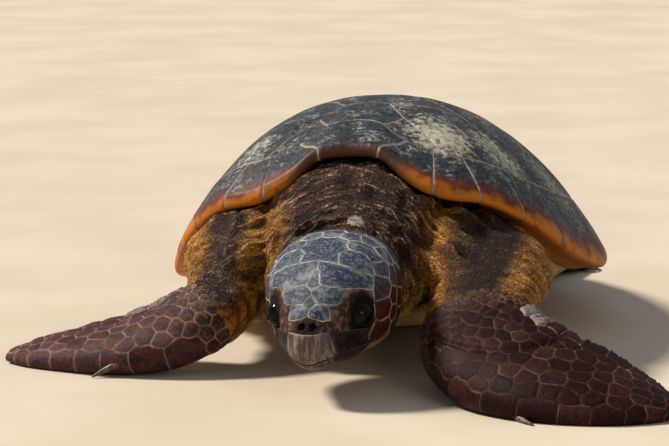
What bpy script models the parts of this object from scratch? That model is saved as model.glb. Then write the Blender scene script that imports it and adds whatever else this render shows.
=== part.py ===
"""A life-size adult loggerhead sea turtle, resting on a flat floor with its front flippers spread.

Run with: blender --background --python part.py   (metres, +Z up, the turtle faces -Y)

The shell, trunk and plastron are modelled level in a body frame whose plastron lies at z = 0 and whose
nuchal edge is at y = 0. The frame is then tipped nose-up about the back of the plastron. The head has a
frame of its own. The limbs and the neck are modelled where they lie, and meet the floor on small flats.
"""
import bisect
import math

import bmesh
import bpy
from mathutils import Matrix, Vector

# ---------------------------------------------------------------- driving dimensions
SHELL_TIP_UP = math.radians(4.5)     # how far the front of the body is raised
TIP_PIVOT_Y = 0.86                   # the tipping line, behind the plastron's rear end
SHELL_LEAN = math.radians(3.0)       # how far the body leans on its right side
LEAN_AXIS_Z = 0.12                   # the height of the line it leans about
GAP = 0.0003                         # between neighbouring pieces

DOME_TOP = Vector((0.0, 0.30, 0.342))
DOME_POWER_ALONG = 2.0               # roundness of the dome towards head and tail
DOME_POWER_ACROSS = 2.3              # and towards the sides
DOME_FALL = 0.88
# The carapace rim, from the nuchal edge round one side to the tail: x, y, z
RIM = [(0.0, 0.012, 0.272), (0.05, 0.004, 0.266), (0.095, -0.008, 0.230), (0.15, -0.004, 0.203),
       (0.215, 0.030, 0.189), (0.277, 0.10, 0.150), (0.327, 0.20, 0.096), (0.357, 0.32, 0.064),
       (0.358, 0.45, 0.055), (0.330, 0.58, 0.060), (0.273, 0.70, 0.078), (0.19, 0.80, 0.095),
       (0.09, 0.865, 0.105), (0.0, 0.885, 0.11)]
# Widths of the twelve marginal scutes of a side, as shares of their mean
MARGINAL_WIDTHS = [1.0, 0.72, 0.85, 1.0, 1.0, 1.1, 1.1, 1.1, 1.1, 1.03, 1.0, 1.0]
MARGINALS = len(MARGINAL_WIDTHS)
RIM_THICK = 0.017
SERRATION = 0.006                    # how far the rearmost marginals jut out
NUCHAL_HALF = 0.047                  # the nuchal scute's half-width at the rim
NUCHAL_FLARE = math.radians(20.3)    # direction of its widest corners, seen from the dome's top
# How far the rim scutes reach in from the rim, by plan direction in degrees from the nuchal
RIM_BAND = [(0, 0.086), (12, 0.086), (20.3, 0.076), (34, 0.057), (60, 0.056), (180, 0.056)]
NUCHAL_SEAM = 0.58                   # the share of its width that borders the first vertebral
SKEWED = 1.5                         # how many marginals it takes for the seams to turn radial
SCUTE_THICK = 0.012

# Vertebral scutes: the seams between them (y, half-width) and their side corners (half-width, y)
VERTEBRAL_SEAMS = [(0.200, 0.037), (0.365, 0.042), (0.530, 0.042), (0.695, 0.044)]
VERTEBRAL_CORNERS = [(0.069, 0.138), (0.088, 0.288), (0.090, 0.450), (0.086, 0.615), (0.098, 0.785)]
# Where the seams between costal scutes meet the rim band, counted in marginals from the nuchal
COSTAL_ENDS = [0.0, 1.6, 3.7, 6.0, 8.4, 10.4]

PLASTRON_BOTTOM, PLASTRON_TOP = -0.020, 0.016
PLASTRON = [(0.0, 0.060), (0.055, 0.064), (0.11, 0.085), (0.15, 0.14), (0.185, 0.20), (0.205, 0.30),
            (0.205, 0.42), (0.185, 0.50), (0.145, 0.555), (0.115, 0.64), (0.075, 0.72), (0.0, 0.745)]

HEAD_AT = Vector((0.005, -0.200, 0.152))
HEAD_YAW, HEAD_PITCH, HEAD_ROLL = math.radians(-3.5), math.radians(12), math.radians(-2)
# The head from occiput to beak tip: y, half-width, top, bottom, squareness above and below
HEAD = [(0.108, 0.080, 0.050, -0.066, 1.00, 0.90), (0.095, 0.088, 0.060, -0.078, 0.95, 0.76),
        (0.065, 0.096, 0.069, -0.089, 0.90, 0.64), (0.025, 0.0985, 0.0725, -0.094, 0.86, 0.58),
        (-0.015, 0.094, 0.070, -0.094, 0.84, 0.62), (-0.050, 0.081, 0.061, -0.091, 0.84, 0.74),
        (-0.080, 0.063, 0.047, -0.086, 0.86, 0.86), (-0.105, 0.049, 0.032, -0.081, 0.90, 0.94),
        (-0.124, 0.038, 0.015, -0.075, 0.95, 0.96), (-0.137, 0.029, -0.003, -0.069, 1.00, 0.98),
        (-0.146, 0.018, -0.020, -0.062, 1.00, 1.00), (-0.151, 0.007, -0.036, -0.055, 1.00, 1.00)]
EYE_AT = Vector((0.0585, -0.0625, -0.0120))
EYE_RADIUS = 0.0215
MOUTH_BACK = -0.005                  # the corner of the mouth, in the head frame
MOUTH_Z, MOUTH_RISE = -0.053, -0.06   # the mouth line's height at the tip, and its slope towards the back

NECK_RING_POINTS = 20
LIMB_RING_POINTS = 12

parts = bpy.data.collections.new("loggerhead_sea_turtle")
cutters = bpy.data.collections.new("cutters")


# ---------------------------------------------------------------- curves and the shell's surface
def through(stations, count):
    """Points of a smooth curve through the stations, whose items may be tuples of any length."""
    rows = [Vector(s) for s in stations]
    made = []
    for i in range(len(rows) - 1):
        a, b, c, d = rows[max(i - 1, 0)], rows[i], rows[i + 1], rows[min(i + 2, len(rows) - 1)]
        for k in range(count):
            t = k / count
            made.append((b * 2 + (c - a) * t + (a * 2 - b * 5 + c * 4 - d) * t * t
                         + (b * 3 - a - c * 3 + d) * t ** 3) * 0.5)
    return made + [rows[-1]]


def plan_angle(x, y):
    """Direction from the dome's top in plan: 0 at the nuchal, pi at the tail, the same on both sides."""
    return math.atan2(abs(x), DOME_TOP.y - y)


rim_line = through(RIM, 10)
rim_angles = [plan_angle(p.x, p.y) for p in rim_line]
rim_lengths = [0.0]
for before, after in zip(rim_line, rim_line[1:]):
    rim_lengths.append(rim_lengths[-1] + (after - before).length)


def between(keys, values, key):
    """Linear interpolation in a table with rising keys."""
    i = min(max(bisect.bisect_right(keys, key) - 1, 0), len(keys) - 2)
    t = min(max((key - keys[i]) / (keys[i + 1] - keys[i]), 0.0), 1.0)
    return values[i] + (values[i + 1] - values[i]) * t


nuchal_end = between([p.x for p in rim_line[:25]], rim_lengths[:25], NUCHAL_HALF)


def marginal_angle(count):
    """Plan angle of the place that many marginals from the nuchal's side end."""
    whole = min(max(int(math.floor(count)), 0), MARGINALS - 1)
    done = sum(MARGINAL_WIDTHS[:whole]) + (count - whole) * MARGINAL_WIDTHS[whole]
    along = nuchal_end + (rim_lengths[-1] - nuchal_end) * done / sum(MARGINAL_WIDTHS)
    return between(rim_lengths, rim_angles, along)


NUCHAL_COUNT = nuchal_end * MARGINALS / (rim_lengths[-1] - nuchal_end)
nuchal_side = marginal_angle(0.0)


def inner_angle(count):
    """Plan angle where the seam from that rim place meets the inner border of the rim scutes."""
    if count < 0:
        return NUCHAL_FLARE * (count + NUCHAL_COUNT) / NUCHAL_COUNT
    return marginal_angle(count) + (NUCHAL_FLARE - nuchal_side) * max(1 - count / SKEWED, 0.0)


def rim_at(angle):
    """The smooth rim's point in this direction."""
    return Vector(between(rim_angles, rim_line, angle))


def tooth(count, angle):
    """How far the saw-toothed rear marginals stand out beyond the smooth rim."""
    rim = rim_at(angle)
    share = max(count, 0.0) % 1.0 if count < MARGINALS else 0.0
    jut = SERRATION * min(max(count - 5, 0.0) / 5, 1.0) * share ** 2
    return Vector((rim.x, rim.y - DOME_TOP.y, 0.0)).normalized() * jut


def on_shell(angle, share, side=1):
    """Carapace surface point: share 0 at the dome's top, 1 at the rim."""
    rim = rim_at(angle)
    across = math.sin(angle) ** 2
    power = DOME_POWER_ALONG + (DOME_POWER_ACROSS - DOME_POWER_ALONG) * across
    height = (1 - min(share, 1.0) ** power) ** DOME_FALL
    return Vector((rim.x * share * side,
                   DOME_TOP.y + (rim.y - DOME_TOP.y) * share,
                   rim.z + (DOME_TOP.z - rim.z) * height))


def shell_above(x, y):
    """Carapace surface point over a place in plan."""
    angle = plan_angle(x, y)
    rim = rim_at(angle)
    share = math.hypot(x, y - DOME_TOP.y) / math.hypot(rim.x, rim.y - DOME_TOP.y)
    p = on_shell(angle, share, -1 if x < 0 else 1)
    return Vector((x, y, p.z))


def band_share(angle):
    """Where the rim scutes end inside the rim."""
    rim = rim_at(angle)
    band = between([d for d, b in RIM_BAND], [b for d, b in RIM_BAND], math.degrees(angle))
    return 1 - band / math.hypot(rim.x, rim.y - DOME_TOP.y)


def under_shell(x, y, depth):
    """The point below the carapace at that depth measured square to its surface."""
    step = 0.004
    top = shell_above(x, y)
    dx = (shell_above(x + step, y).z - shell_above(x - step, y).z) / (2 * step)
    dy = (shell_above(x, y + step).z - shell_above(x, y - step).z) / (2 * step)
    slant = min(math.sqrt(1 + dx * dx + dy * dy), 1.9)
    return Vector((top.x, top.y, top.z - depth * slant))


# ---------------------------------------------------------------- making and joining solids
def material(name, colour, roughness, metallic=0.0):
    made = bpy.data.materials.new(name)
    made.use_nodes = True
    shader = made.node_tree.nodes["Principled BSDF"]
    shader.inputs["Base Color"].default_value = (*colour, 1.0)
    shader.inputs["Roughness"].default_value = roughness
    shader.inputs["Metallic"].default_value = metallic
    return made


def add_object(name, mesh, look, parent=None, collection=None):
    obj = bpy.data.objects.new(name, mesh)
    (collection or parts).objects.link(obj)
    if look is not None:
        mesh.materials.append(look)
    obj.parent = parent
    return obj


def closed_mesh(name, grid_faces, points):
    """A mesh from points and faces, with doubles merged and every face turned outwards."""
    mesh = bpy.data.meshes.new(name)
    mesh.from_pydata([tuple(p) for p in points], [], grid_faces)
    shaped = bmesh.new()
    shaped.from_mesh(mesh)
    bmesh.ops.remove_doubles(shaped, verts=shaped.verts, dist=0.00005)
    bmesh.ops.recalc_face_normals(shaped, faces=shaped.faces)
    bmesh.ops.triangulate(shaped, faces=shaped.faces)
    shaped.to_mesh(mesh)
    shaped.free()
    mesh.shade_smooth()
    mesh.set_sharp_from_angle(angle=math.radians(40))
    return mesh


def loft_mesh(name, rings):
    """A closed tube through rings of equally many points, with a flat fan at each end."""
    count = len(rings[0])
    points = [p for ring in rings for p in ring]
    faces = []
    for i in range(len(rings) - 1):
        for k in range(count):
            a, b = i * count + k, i * count + (k + 1) % count
            faces.append((a, b, b + count, a + count))
    for first, ring in ((0, rings[0]), ((len(rings) - 1) * count, rings[-1])):
        centre = len(points)
        points.append(sum(ring, Vector()) / count)
        faces += [(first + k, first + (k + 1) % count, centre) for k in range(count)]
    return closed_mesh(name, faces, points)


def plate_mesh(name, upper, lower):
    """A closed plate between two grids of points of the same size."""
    rows, columns = len(upper), len(upper[0])
    points = [p for row in upper for p in row] + [p for row in lower for p in row]
    half = rows * columns
    faces = []
    for i in range(rows - 1):
        for k in range(columns - 1):
            a = i * columns + k
            faces.append((a, a + 1, a + columns + 1, a + columns))
            faces.append((half + a, half + a + columns, half + a + columns + 1, half + a + 1))
    edge = ([k for k in range(columns)] + [i * columns + columns - 1 for i in range(1, rows)]
            + [(rows - 1) * columns + k for k in range(columns - 2, -1, -1)]
            + [i * columns for i in range(rows - 2, 0, -1)])
    for a, b in zip(edge, edge[1:] + edge[:1]):
        faces.append((a, b, half + b, half + a))
    return closed_mesh(name, faces, points)


def boolean(obj, other, operation):
    """Applies a Boolean at once, so that the node holds plain geometry."""
    modifier = obj.modifiers.new(operation.lower(), "BOOLEAN")
    modifier.object = other
    modifier.operation = operation
    modifier.solver = "EXACT"
    bpy.context.view_layer.update()
    graph = bpy.context.evaluated_depsgraph_get()
    made = bpy.data.meshes.new_from_object(obj.evaluated_get(graph), depsgraph=graph)
    obj.modifiers.clear()
    obj.data = made


def cutter(name, mesh, parent=None):
    obj = add_object(name, mesh, None, parent, cutters)
    obj.hide_render = True
    obj.display_type = "WIRE"
    return obj


def carve(obj, *others):
    """Cuts away whatever of a solid lies within, or closer than the gap to, the others."""
    for other in others:
        room = cutter(f"{obj.name}_clear_of_{other.name}"[:58], other.data.copy(), other.parent)
        normals = [v.normal.copy() for v in room.data.vertices]
        for vertex, normal in zip(room.data.vertices, normals):
            vertex.co += normal * GAP * 3.0
        bpy.context.view_layer.update()
        boolean(obj, room, "DIFFERENCE")
    keep_largest(obj)


def keep_largest(obj):
    """Drops crumbs that a cut has parted from the main body of a solid."""
    shaped = bmesh.new()
    shaped.from_mesh(obj.data)
    bmesh.ops.remove_doubles(shaped, verts=shaped.verts, dist=0.00005)
    bmesh.ops.dissolve_degenerate(shaped, edges=shaped.edges, dist=0.00005)
    groups, seen = [], set()
    for start in shaped.verts:
        if start in seen:
            continue
        group, todo = [], [start]
        seen.add(start)
        while todo:
            here = todo.pop()
            group.append(here)
            for edge in here.link_edges:
                other = edge.other_vert(here)
                if other not in seen:
                    seen.add(other)
                    todo.append(other)
        groups.append(group)
    groups.sort(key=len)
    for group in groups[:-1]:
        bmesh.ops.delete(shaped, geom=group, context="VERTS")
    shaped.to_mesh(obj.data)
    shaped.free()


# ---------------------------------------------------------------- carapace
def blend_line(points, t):
    """A point at share t of a polyline, counted evenly by its pieces."""
    place = t * (len(points) - 1)
    i = min(int(place), len(points) - 2)
    return points[i].lerp(points[i + 1], place - i)


def patch(front, rear, left, right, rows, columns):
    """Plan points of a four-sided patch whose sides are polylines, kept clear of its neighbours."""
    size_u = max((blend_line(front, 1) - blend_line(front, 0)).length, 0.05)
    size_v = max((blend_line(left, 1) - blend_line(left, 0)).length, 0.05)
    inset_u, inset_v = 1.6 * GAP / size_u, 1.6 * GAP / size_v
    grid = []
    for i in range(rows + 1):
        v = inset_v + (1 - 2 * inset_v) * i / rows
        row = []
        for k in range(columns + 1):
            u = inset_u + (1 - 2 * inset_u) * k / columns
            sides = blend_line(left, v).lerp(blend_line(right, v), u)
            ends = blend_line(front, u).lerp(blend_line(rear, u), v)
            corners = (front[0].lerp(front[-1], u)).lerp(rear[0].lerp(rear[-1], u), v)
            row.append(sides + ends - corners)
        grid.append(row)
    return grid


def scute(name, grid, side, look, parent):
    upper = [[shell_above(p.x * side, p.y) for p in row] for row in grid]
    lower = [[under_shell(p.x * side, p.y, SCUTE_THICK) for p in row] for row in grid]
    return add_object(name, plate_mesh(name, upper, lower), look, parent)


def band_line(start, end, count):
    """Plan points just inside the rim scutes, between two places counted in marginals."""
    made = []
    for i in range(count + 1):
        angle = inner_angle(start + (end - start) * i / count)
        p = on_shell(angle, band_share(angle) - 0.0016)
        made.append(Vector((p.x, p.y)))
    return made


def mirrored(points):
    return [Vector((-p.x, p.y)) for p in reversed(points)]


FIRST_CORNER = -NUCHAL_COUNT * (1 - NUCHAL_SEAM)


def build_vertebrals(look, parent):
    front_half = band_line(-NUCHAL_COUNT, FIRST_CORNER, 3)
    front = mirrored(front_half)[:-1] + front_half
    for i, (half, y) in enumerate(VERTEBRAL_CORNERS):
        if i < len(VERTEBRAL_CORNERS) - 1:
            seam_y, seam_half = VERTEBRAL_SEAMS[i]
            rear = [Vector((-seam_half, seam_y)), Vector((seam_half, seam_y))]
        else:
            rear_half = band_line(MARGINALS, COSTAL_ENDS[-1], 3)
            rear = mirrored(rear_half)[:-1] + rear_half
        left = [front[0], Vector((-half, y)), rear[0]]
        right = [front[-1], Vector((half, y)), rear[-1]]
        grid = patch(front, rear, left, right, 4, 6)
        scute(f"vertebral_{i + 1}", grid, 1, look, parent)
        front = rear


def build_costals(look, parent):
    corners = [Vector(c) for c in VERTEBRAL_CORNERS]
    seams = [Vector((half, y)) for y, half in VERTEBRAL_SEAMS]
    for i in range(5):
        outer = band_line(COSTAL_ENDS[i], COSTAL_ENDS[i + 1], 5)
        if i == 0:
            front = band_line(FIRST_CORNER, 0.0, 2)
            inner = [front[0], corners[0]]
        else:
            inner = [corners[i - 1], seams[i - 1], corners[i]]
            front = [inner[0], outer[0]]
        rear = [inner[-1], outer[-1]]
        grid = patch(front, rear, inner, outer, 4, 4)
        for side, word in ((1, "left"), (-1, "right")):
            scute(f"costal_{word}_{i + 1}", grid, side, look, parent)


def marginal_section(count, side):
    """The closed outline across the rim: over the top, round the edge and back underneath."""
    angle, inward = marginal_angle(count), inner_angle(count)
    if count < 0:
        angle = nuchal_side * (count + NUCHAL_COUNT) / NUCHAL_COUNT
    rim = rim_at(angle)
    reach = math.hypot(rim.x, rim.y - DOME_TOP.y)
    jut = tooth(count, angle)
    jut.x *= side
    over = []
    for t in (0.0, 0.4, 0.75, 0.95):
        here = inward + (angle - inward) * t
        inside = band_share(here)
        over.append(on_shell(here, inside + (1 - inside) * t, side) + jut * t * t)
    edge = on_shell(angle, 1.0, side) - Vector((0, 0, RIM_THICK * 0.45)) + jut
    below = []
    for distance, drop in ((0.006, 0.95), (0.030, 0.85), (0.062, 0.55)):
        p = on_shell(angle, 1 - distance / reach, side)
        below.append(Vector((p.x, p.y, rim.z - RIM_THICK * drop)) + jut * (1 - distance / 0.062))
    start = over[0]
    return over + [edge] + below + [under_shell(start.x, start.y, SCUTE_THICK)]


def build_rim(look, parent):
    """The nuchal scute, and the marginals of each side in three runs of four."""
    trim = GAP * 1.2 / 0.09
    half = [-trim - (NUCHAL_COUNT - trim) * k / 4 for k in range(4)]
    rings = [marginal_section(c, -1) for c in half] + [marginal_section(-NUCHAL_COUNT, 1)]
    rings += [marginal_section(c, 1) for c in reversed(half)]
    add_object("nuchal", loft_mesh("nuchal", rings), look, parent)
    for side, word in ((1, "left"), (-1, "right")):
        for run, start, end in (("front", 0, 4), ("side", 4, 8), ("rear", 8, 12)):
            steps = (end - start) * 3
            places = [start + (end - start) * k / steps for k in range(steps + 1)]
            places[0] += trim
            places[-1] -= trim
            name = f"marginals_{word}_{run}"
            add_object(name, loft_mesh(name, [marginal_section(c, side) for c in places]), look, parent)


# ---------------------------------------------------------------- trunk, plastron and bridges
def build_trunk(look, parent):
    """The flesh that fills the shell, seen between shell, neck and limbs."""
    count = 28
    angles = [2 * math.pi * k / count for k in range(count)]

    def ring(share, depth):
        made = []
        for a in angles:
            side = -1 if a > math.pi else 1
            bent = a if a <= math.pi else 2 * math.pi - a
            reach = math.hypot(rim_at(bent).x, rim_at(bent).y - DOME_TOP.y)
            inside = min(share, band_share(bent) - 0.016 / reach)
            p = on_shell(bent, inside, side)
            made.append(under_shell(p.x, p.y, depth))
        return made

    floor_z = PLASTRON_TOP + 0.004

    def level(share, z):
        return [Vector((p.x, p.y, z)) for p in ring(share, 0.02)]

    rings = [ring(s, 0.017) for s in (0.12, 0.3, 0.48, 0.64, 0.78)]
    rings += [level(0.80, 0.115), level(0.79, 0.075), level(0.66, 0.045), level(0.50, floor_z)]
    rings += [level(0.3, floor_z)]
    return add_object("trunk", loft_mesh("trunk", rings), look, parent)


def build_plastron(look, parent):
    """The belly plate: a flat outline with rounded edges, planed off level where it meets the floor."""
    half = [Vector((x, y)) for x, y in PLASTRON]
    outline = half + mirrored(half)[1:-1]
    centre = Vector((0.0, 0.40))

    def level(inset, z):
        return [Vector((*(centre + (p - centre) * (1 - inset)), z)) for p in outline]

    rings = [level(0.07, PLASTRON_BOTTOM), level(0.02, PLASTRON_BOTTOM + 0.005),
             level(0.0, PLASTRON_BOTTOM + 0.014), level(0.0, 0.010), level(0.01, PLASTRON_TOP)]
    plastron = add_object("plastron", loft_mesh("plastron", rings), look, parent)
    floor = cutter("floor", box_mesh("floor", (-1, -1, -0.5), (1, 2, 0)))
    boolean(plastron, floor, "DIFFERENCE")
    return plastron


def build_bridges(look, parent):
    """The plates that join plastron and carapace between the limbs."""
    belly = [Vector(p) for p in through(PLASTRON, 2)]
    for side, word in ((1, "left"), (-1, "right")):
        rings = []
        for k in range(7):
            y = 0.215 + 0.27 * k / 6
            arch = math.sin(math.pi * k / 6)
            rim = between([p.y for p in rim_line[30:110]], rim_line[30:110], y)
            inner = between([p.y for p in belly], [p.x for p in belly], y) + GAP * 2
            outer = rim.x - 0.066
            rise = rim.z - RIM_THICK * 0.2
            ring = [Vector((inner, y, -0.006 + 0.004 * (1 - arch))),
                    Vector((inner + 0.3 * (outer - inner), y, -0.004 + 0.10 * rise)),
                    Vector((outer, y, rise - 0.012)),
                    Vector((outer, y, rise + 0.004)),
                    Vector((inner + 0.3 * (outer - inner), y, 0.020 + 0.15 * rise)),
                    Vector((inner, y, PLASTRON_TOP))]
            rings.append([Vector((p.x * side, p.y, p.z)) for p in ring])
        add_object(f"bridge_{word}", loft_mesh(f"bridge_{word}", rings), look, parent)


# ---------------------------------------------------------------- head
def head_ring(station, count=NECK_RING_POINTS):
    y, half, top, bottom, above, below = station
    middle, tall = (top + bottom) / 2, (top - bottom) / 2
    ring = []
    for k in range(count):
        a = 2 * math.pi * k / count
        c, s = math.cos(a), math.sin(a)
        square = above if s > 0 else below
        x = half * math.copysign(abs(c) ** square, c)
        ring.append(Vector((x, y, middle + tall * math.copysign(abs(s) ** square, s))))
    return ring


def box_mesh(name, low, high):
    mesh = bpy.data.meshes.new(name)
    shaped = bmesh.new()
    bmesh.ops.create_cube(shaped, size=1.0)
    for v in shaped.verts:
        v.co = Vector([(low[i] + high[i]) / 2 + v.co[i] * (high[i] - low[i]) for i in range(3)])
    shaped.to_mesh(mesh)
    shaped.free()
    return mesh


def wedge_mesh(name, profile, half):
    """A prism across the head: a side outline of (y, z) points, as wide as twice half."""
    rings = [[Vector((x, y, z)) for y, z in profile] for x in (-half, half)]
    return loft_mesh(name, rings)


def build_head(looks, frame):
    """Skull with its skin, horny upper beak, lower jaw and eyes, divided by thin cuts."""
    stations = [tuple(s) for s in through(HEAD, 2)]
    whole = loft_mesh("head", [head_ring(s) for s in stations])
    head = add_object("head", whole, looks["skin"], frame)

    front, back = -0.17, MOUTH_BACK
    line_back = MOUTH_Z + MOUTH_RISE * (back - front)
    jaw_room = cutter("jaw_room", wedge_mesh("jaw_room", [
        (front, MOUTH_Z), (back, line_back), (back + 0.05, line_back - 0.02),
        (back + 0.07, -0.11), (front, -0.11)], 0.12), frame)
    jaw_shape = cutter("jaw_shape", wedge_mesh("jaw_shape", [
        (front, MOUTH_Z - GAP * 2), (back - GAP, line_back - GAP * 2),
        (back + 0.05 - GAP * 2, line_back - 0.02 - GAP * 2),
        (back + 0.07 - GAP * 3, -0.11), (front, -0.11)], 0.12), frame)
    jaw = add_object("lower_jaw", whole.copy(), looks["beak"], frame)
    boolean(jaw, jaw_shape, "INTERSECT")
    boolean(head, jaw_room, "DIFFERENCE")

    top, hinge = -0.012, -0.062
    beak_room = cutter("beak_room", wedge_mesh("beak_room", [
        (front, top), (-0.132, top), (-0.100, top - 0.010), (hinge, MOUTH_Z + 0.020),
        (hinge + 0.010, -0.12), (front, -0.12)], 0.12), frame)
    beak_shape = cutter("beak_shape", wedge_mesh("beak_shape", [
        (front, top - GAP * 2), (-0.132, top - GAP * 2), (-0.100, top - 0.010 - GAP * 2),
        (hinge - GAP, MOUTH_Z + 0.020 - GAP * 2), (hinge + 0.010 - GAP * 2, -0.12),
        (front, -0.12)], 0.12), frame)
    beak = add_object("upper_beak", head.data.copy(), None, frame)
    beak.data.materials.clear()
    beak.data.materials.append(looks["beak"])
    boolean(beak, beak_shape, "INTERSECT")
    boolean(head, beak_room, "DIFFERENCE")

    for side, word in ((1, "left"), (-1, "right")):
        at = Matrix.Translation((EYE_AT.x * side, EYE_AT.y, EYE_AT.z))
        for name, radius in ((f"eye_{word}", EYE_RADIUS), (f"eye_room_{word}", EYE_RADIUS + GAP * 4)):
            mesh = bpy.data.meshes.new(name)
            shaped = bmesh.new()
            bmesh.ops.create_uvsphere(shaped, u_segments=12, v_segments=6, radius=radius)
            shaped.transform(at)
            shaped.to_mesh(mesh)
            shaped.free()
            mesh.shade_smooth()
            if "room" in name:
                room = cutter(name, mesh, frame)
                boolean(head, room, "DIFFERENCE")
                boolean(beak, room, "DIFFERENCE")
            else:
                add_object(name, mesh, looks["eye"], frame)
    return head


# ---------------------------------------------------------------- neck and limbs
def build_neck(look, head_frame):
    """The thick folded collar of neck skin, from inside the shell to the back of the head."""
    # y, half-width, top, bottom, squareness above and below
    stations = [(0.120, 0.138, 0.300, 0.070, 0.75, 0.9), (0.060, 0.138, 0.312, 0.066, 0.75, 0.9),
                (0.020, 0.136, 0.304, 0.062, 0.80, 0.9), (-0.020, 0.131, 0.272, 0.058, 0.88, 0.9),
                (-0.055, 0.124, 0.244, 0.056, 0.92, 0.9), (-0.085, 0.112, 0.222, 0.058, 0.95, 0.9)]
    rings = [head_ring(tuple(s)) for s in through(stations, 2)]
    to_world = head_frame.matrix_basis
    fitted = [to_world @ (p + Vector((0, GAP * 2, 0))) for p in head_ring(HEAD[0])]
    rings += [[a * 0.35 + b * 0.65 + Vector((0, 0.004, 0)) for a, b in zip(rings[-1], fitted)], fitted]
    return add_object("neck", loft_mesh("neck", rings), look)


def limb_sections(stations, side, count):
    """Rings of a limb. A station is x, y, z, chord, thickness, tilt in degrees, and how much
    thicker the leading edge is than the trailing one."""
    rows = through([(s[0] * side, *s[1:]) for s in stations], count)
    rings = []
    for i, row in enumerate(rows):
        here = Vector(row[:3])
        ahead = Vector(rows[min(i + 1, len(rows) - 1)][:3]) - Vector(rows[max(i - 1, 0)][:3])
        ahead.normalize()
        back = Vector((-ahead.y, ahead.x, 0)).normalized() * side
        tilt = math.radians(row[5])
        chord = (back * math.cos(tilt) + Vector((0, 0, 1)) * math.sin(tilt)).normalized()
        up = ahead.cross(chord).normalized() * side
        ring = []
        for k in range(LIMB_RING_POINTS):
            a = 2 * math.pi * k / LIMB_RING_POINTS
            c, s = math.cos(a), math.sin(a)
            thick = row[4] * (1 - row[6] * c)
            p = here + chord * (c * row[3]) + up * (s * thick)
            ring.append(Vector((p.x, p.y, max(p.z, 0.0))))
        rings.append(ring)
    return rings


def build_limb(stations, side, looks, names, joint, count=2):
    """One limb in two pieces, parted at the named joint (a station's number)."""
    rings = limb_sections(stations, side, count)
    cut = joint * count
    upper = add_object(names[0], loft_mesh(names[0], rings[:cut + 1]), looks[0])
    step = (sum(rings[cut + 1], Vector()) - sum(rings[cut], Vector())).normalized() * GAP * 1.3
    lower_rings = [[p + step for p in rings[cut]]] + rings[cut + 1:]
    lower = add_object(names[1], loft_mesh(names[1], lower_rings), looks[1])
    carve(upper, lower)


def build_claw(name, flipper, rings, number, look):
    """A short curved cone of horn on a flipper's leading edge, at that ring of its sections."""
    ring, after = rings[number], rings[number + 1]
    lead = LIMB_RING_POINTS // 2
    outward = (ring[lead] - ring[0]).normalized()
    along = (after[lead] - ring[lead]).normalized()
    base = ring[lead] - outward * 0.008
    base.z = max(base.z, CLAW_RADIUS)
    axis = (outward * 0.75 + along * 0.65).normalized() * CLAW_LENGTH
    axis.z = 0.0
    across = axis.orthogonal().normalized()
    other = axis.cross(across).normalized()
    sections = []
    for t, share in ((0.0, 1.0), (0.4, 0.84), (0.75, 0.5), (1.0, 0.14)):
        radius = CLAW_RADIUS * share
        centre = base + axis * t + along * CLAW_LENGTH * 0.25 * t * t
        centre.z = base.z * (1 - t) + radius * t
        sections.append([centre + (across * math.cos(a) + other * math.sin(a)) * radius
                         for a in (2 * math.pi * k / 6 for k in range(6))])
    claw = add_object(name, loft_mesh(name, sections), look)
    carve(claw, flipper)
    return claw


# x (outwards), y, z, half-chord, half-thickness, tilt, leading-edge thickening
ARM_LEFT = [(0.175, 0.130, 0.150, 0.080, 0.062, 0, 0.0), (0.217, 0.040, 0.145, 0.096, 0.070, 5, 0.0),
            (0.226, -0.060, 0.124, 0.088, 0.062, 12, 0.05), (0.222, -0.165, 0.088, 0.090, 0.051, 24, 0.15),
            (0.262, -0.238, 0.067, 0.096, 0.040, 30, 0.28), (0.335, -0.282, 0.053, 0.098, 0.030, 29, 0.40),
            (0.425, -0.296, 0.038, 0.086, 0.021, 25, 0.45), (0.494, -0.297, 0.024, 0.056, 0.013, 21, 0.45),
            (0.538, -0.294, 0.013, 0.020, 0.007, 18, 0.30)]
ARM_RIGHT = [(0.175, 0.130, 0.150, 0.080, 0.062, 0, 0.0), (0.194, 0.064, 0.145, 0.084, 0.068, 5, 0.0),
             (0.190, -0.004, 0.124, 0.070, 0.060, 15, 0.05), (0.205, -0.068, 0.090, 0.062, 0.047, 28, 0.15),
             (0.262, -0.097, 0.062, 0.076, 0.038, 28, 0.28), (0.335, -0.100, 0.043, 0.076, 0.028, 22, 0.40),
             (0.418, -0.092, 0.030, 0.062, 0.020, 20, 0.45), (0.485, -0.085, 0.019, 0.043, 0.013, 18, 0.45),
             (0.530, -0.080, 0.010, 0.016, 0.007, 16, 0.30)]
LEG = [(0.120, 0.650, 0.080, 0.055, 0.038, 0, 0.0), (0.160, 0.735, 0.062, 0.058, 0.036, 4, 0.05),
       (0.190, 0.805, 0.044, 0.060, 0.028, 8, 0.15), (0.212, 0.870, 0.026, 0.068, 0.018, 8, 0.25),
       (0.232, 0.930, 0.015, 0.070, 0.012, 6, 0.30), (0.246, 0.972, 0.009, 0.046, 0.009, 4, 0.30),
       (0.252, 0.992, 0.007, 0.018, 0.006, 2, 0.20)]
TAIL = [(0.0, 0.700, 0.070, 0.040, 0.032), (0.0, 0.790, 0.062, 0.036, 0.029),
        (0.0, 0.860, 0.048, 0.026, 0.022), (0.0, 0.915, 0.034, 0.015, 0.013), (0.0, 0.945, 0.026, 0.005, 0.004)]


CLAW_RADIUS, CLAW_LENGTH = 0.0065, 0.034


def build_limbs(looks):
    for word, side, stations in (("left", 1, ARM_LEFT), ("right", -1, ARM_RIGHT)):
        for kind, rows, names, joint, claw_ring in (
                ("front", stations, (f"arm_{word}", f"flipper_{word}"), 3, 10),
                ("hind", LEG, (f"thigh_{word}", f"hind_flipper_{word}"), 2, 7)):
            build_limb(rows, side, (looks["skin"], looks["flipper"]), names, joint)
            rings = limb_sections(rows, side, 2)
            build_claw(f"claw_{kind}_{word}", parts.objects[names[1]], rings, claw_ring, looks["claw"])


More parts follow.
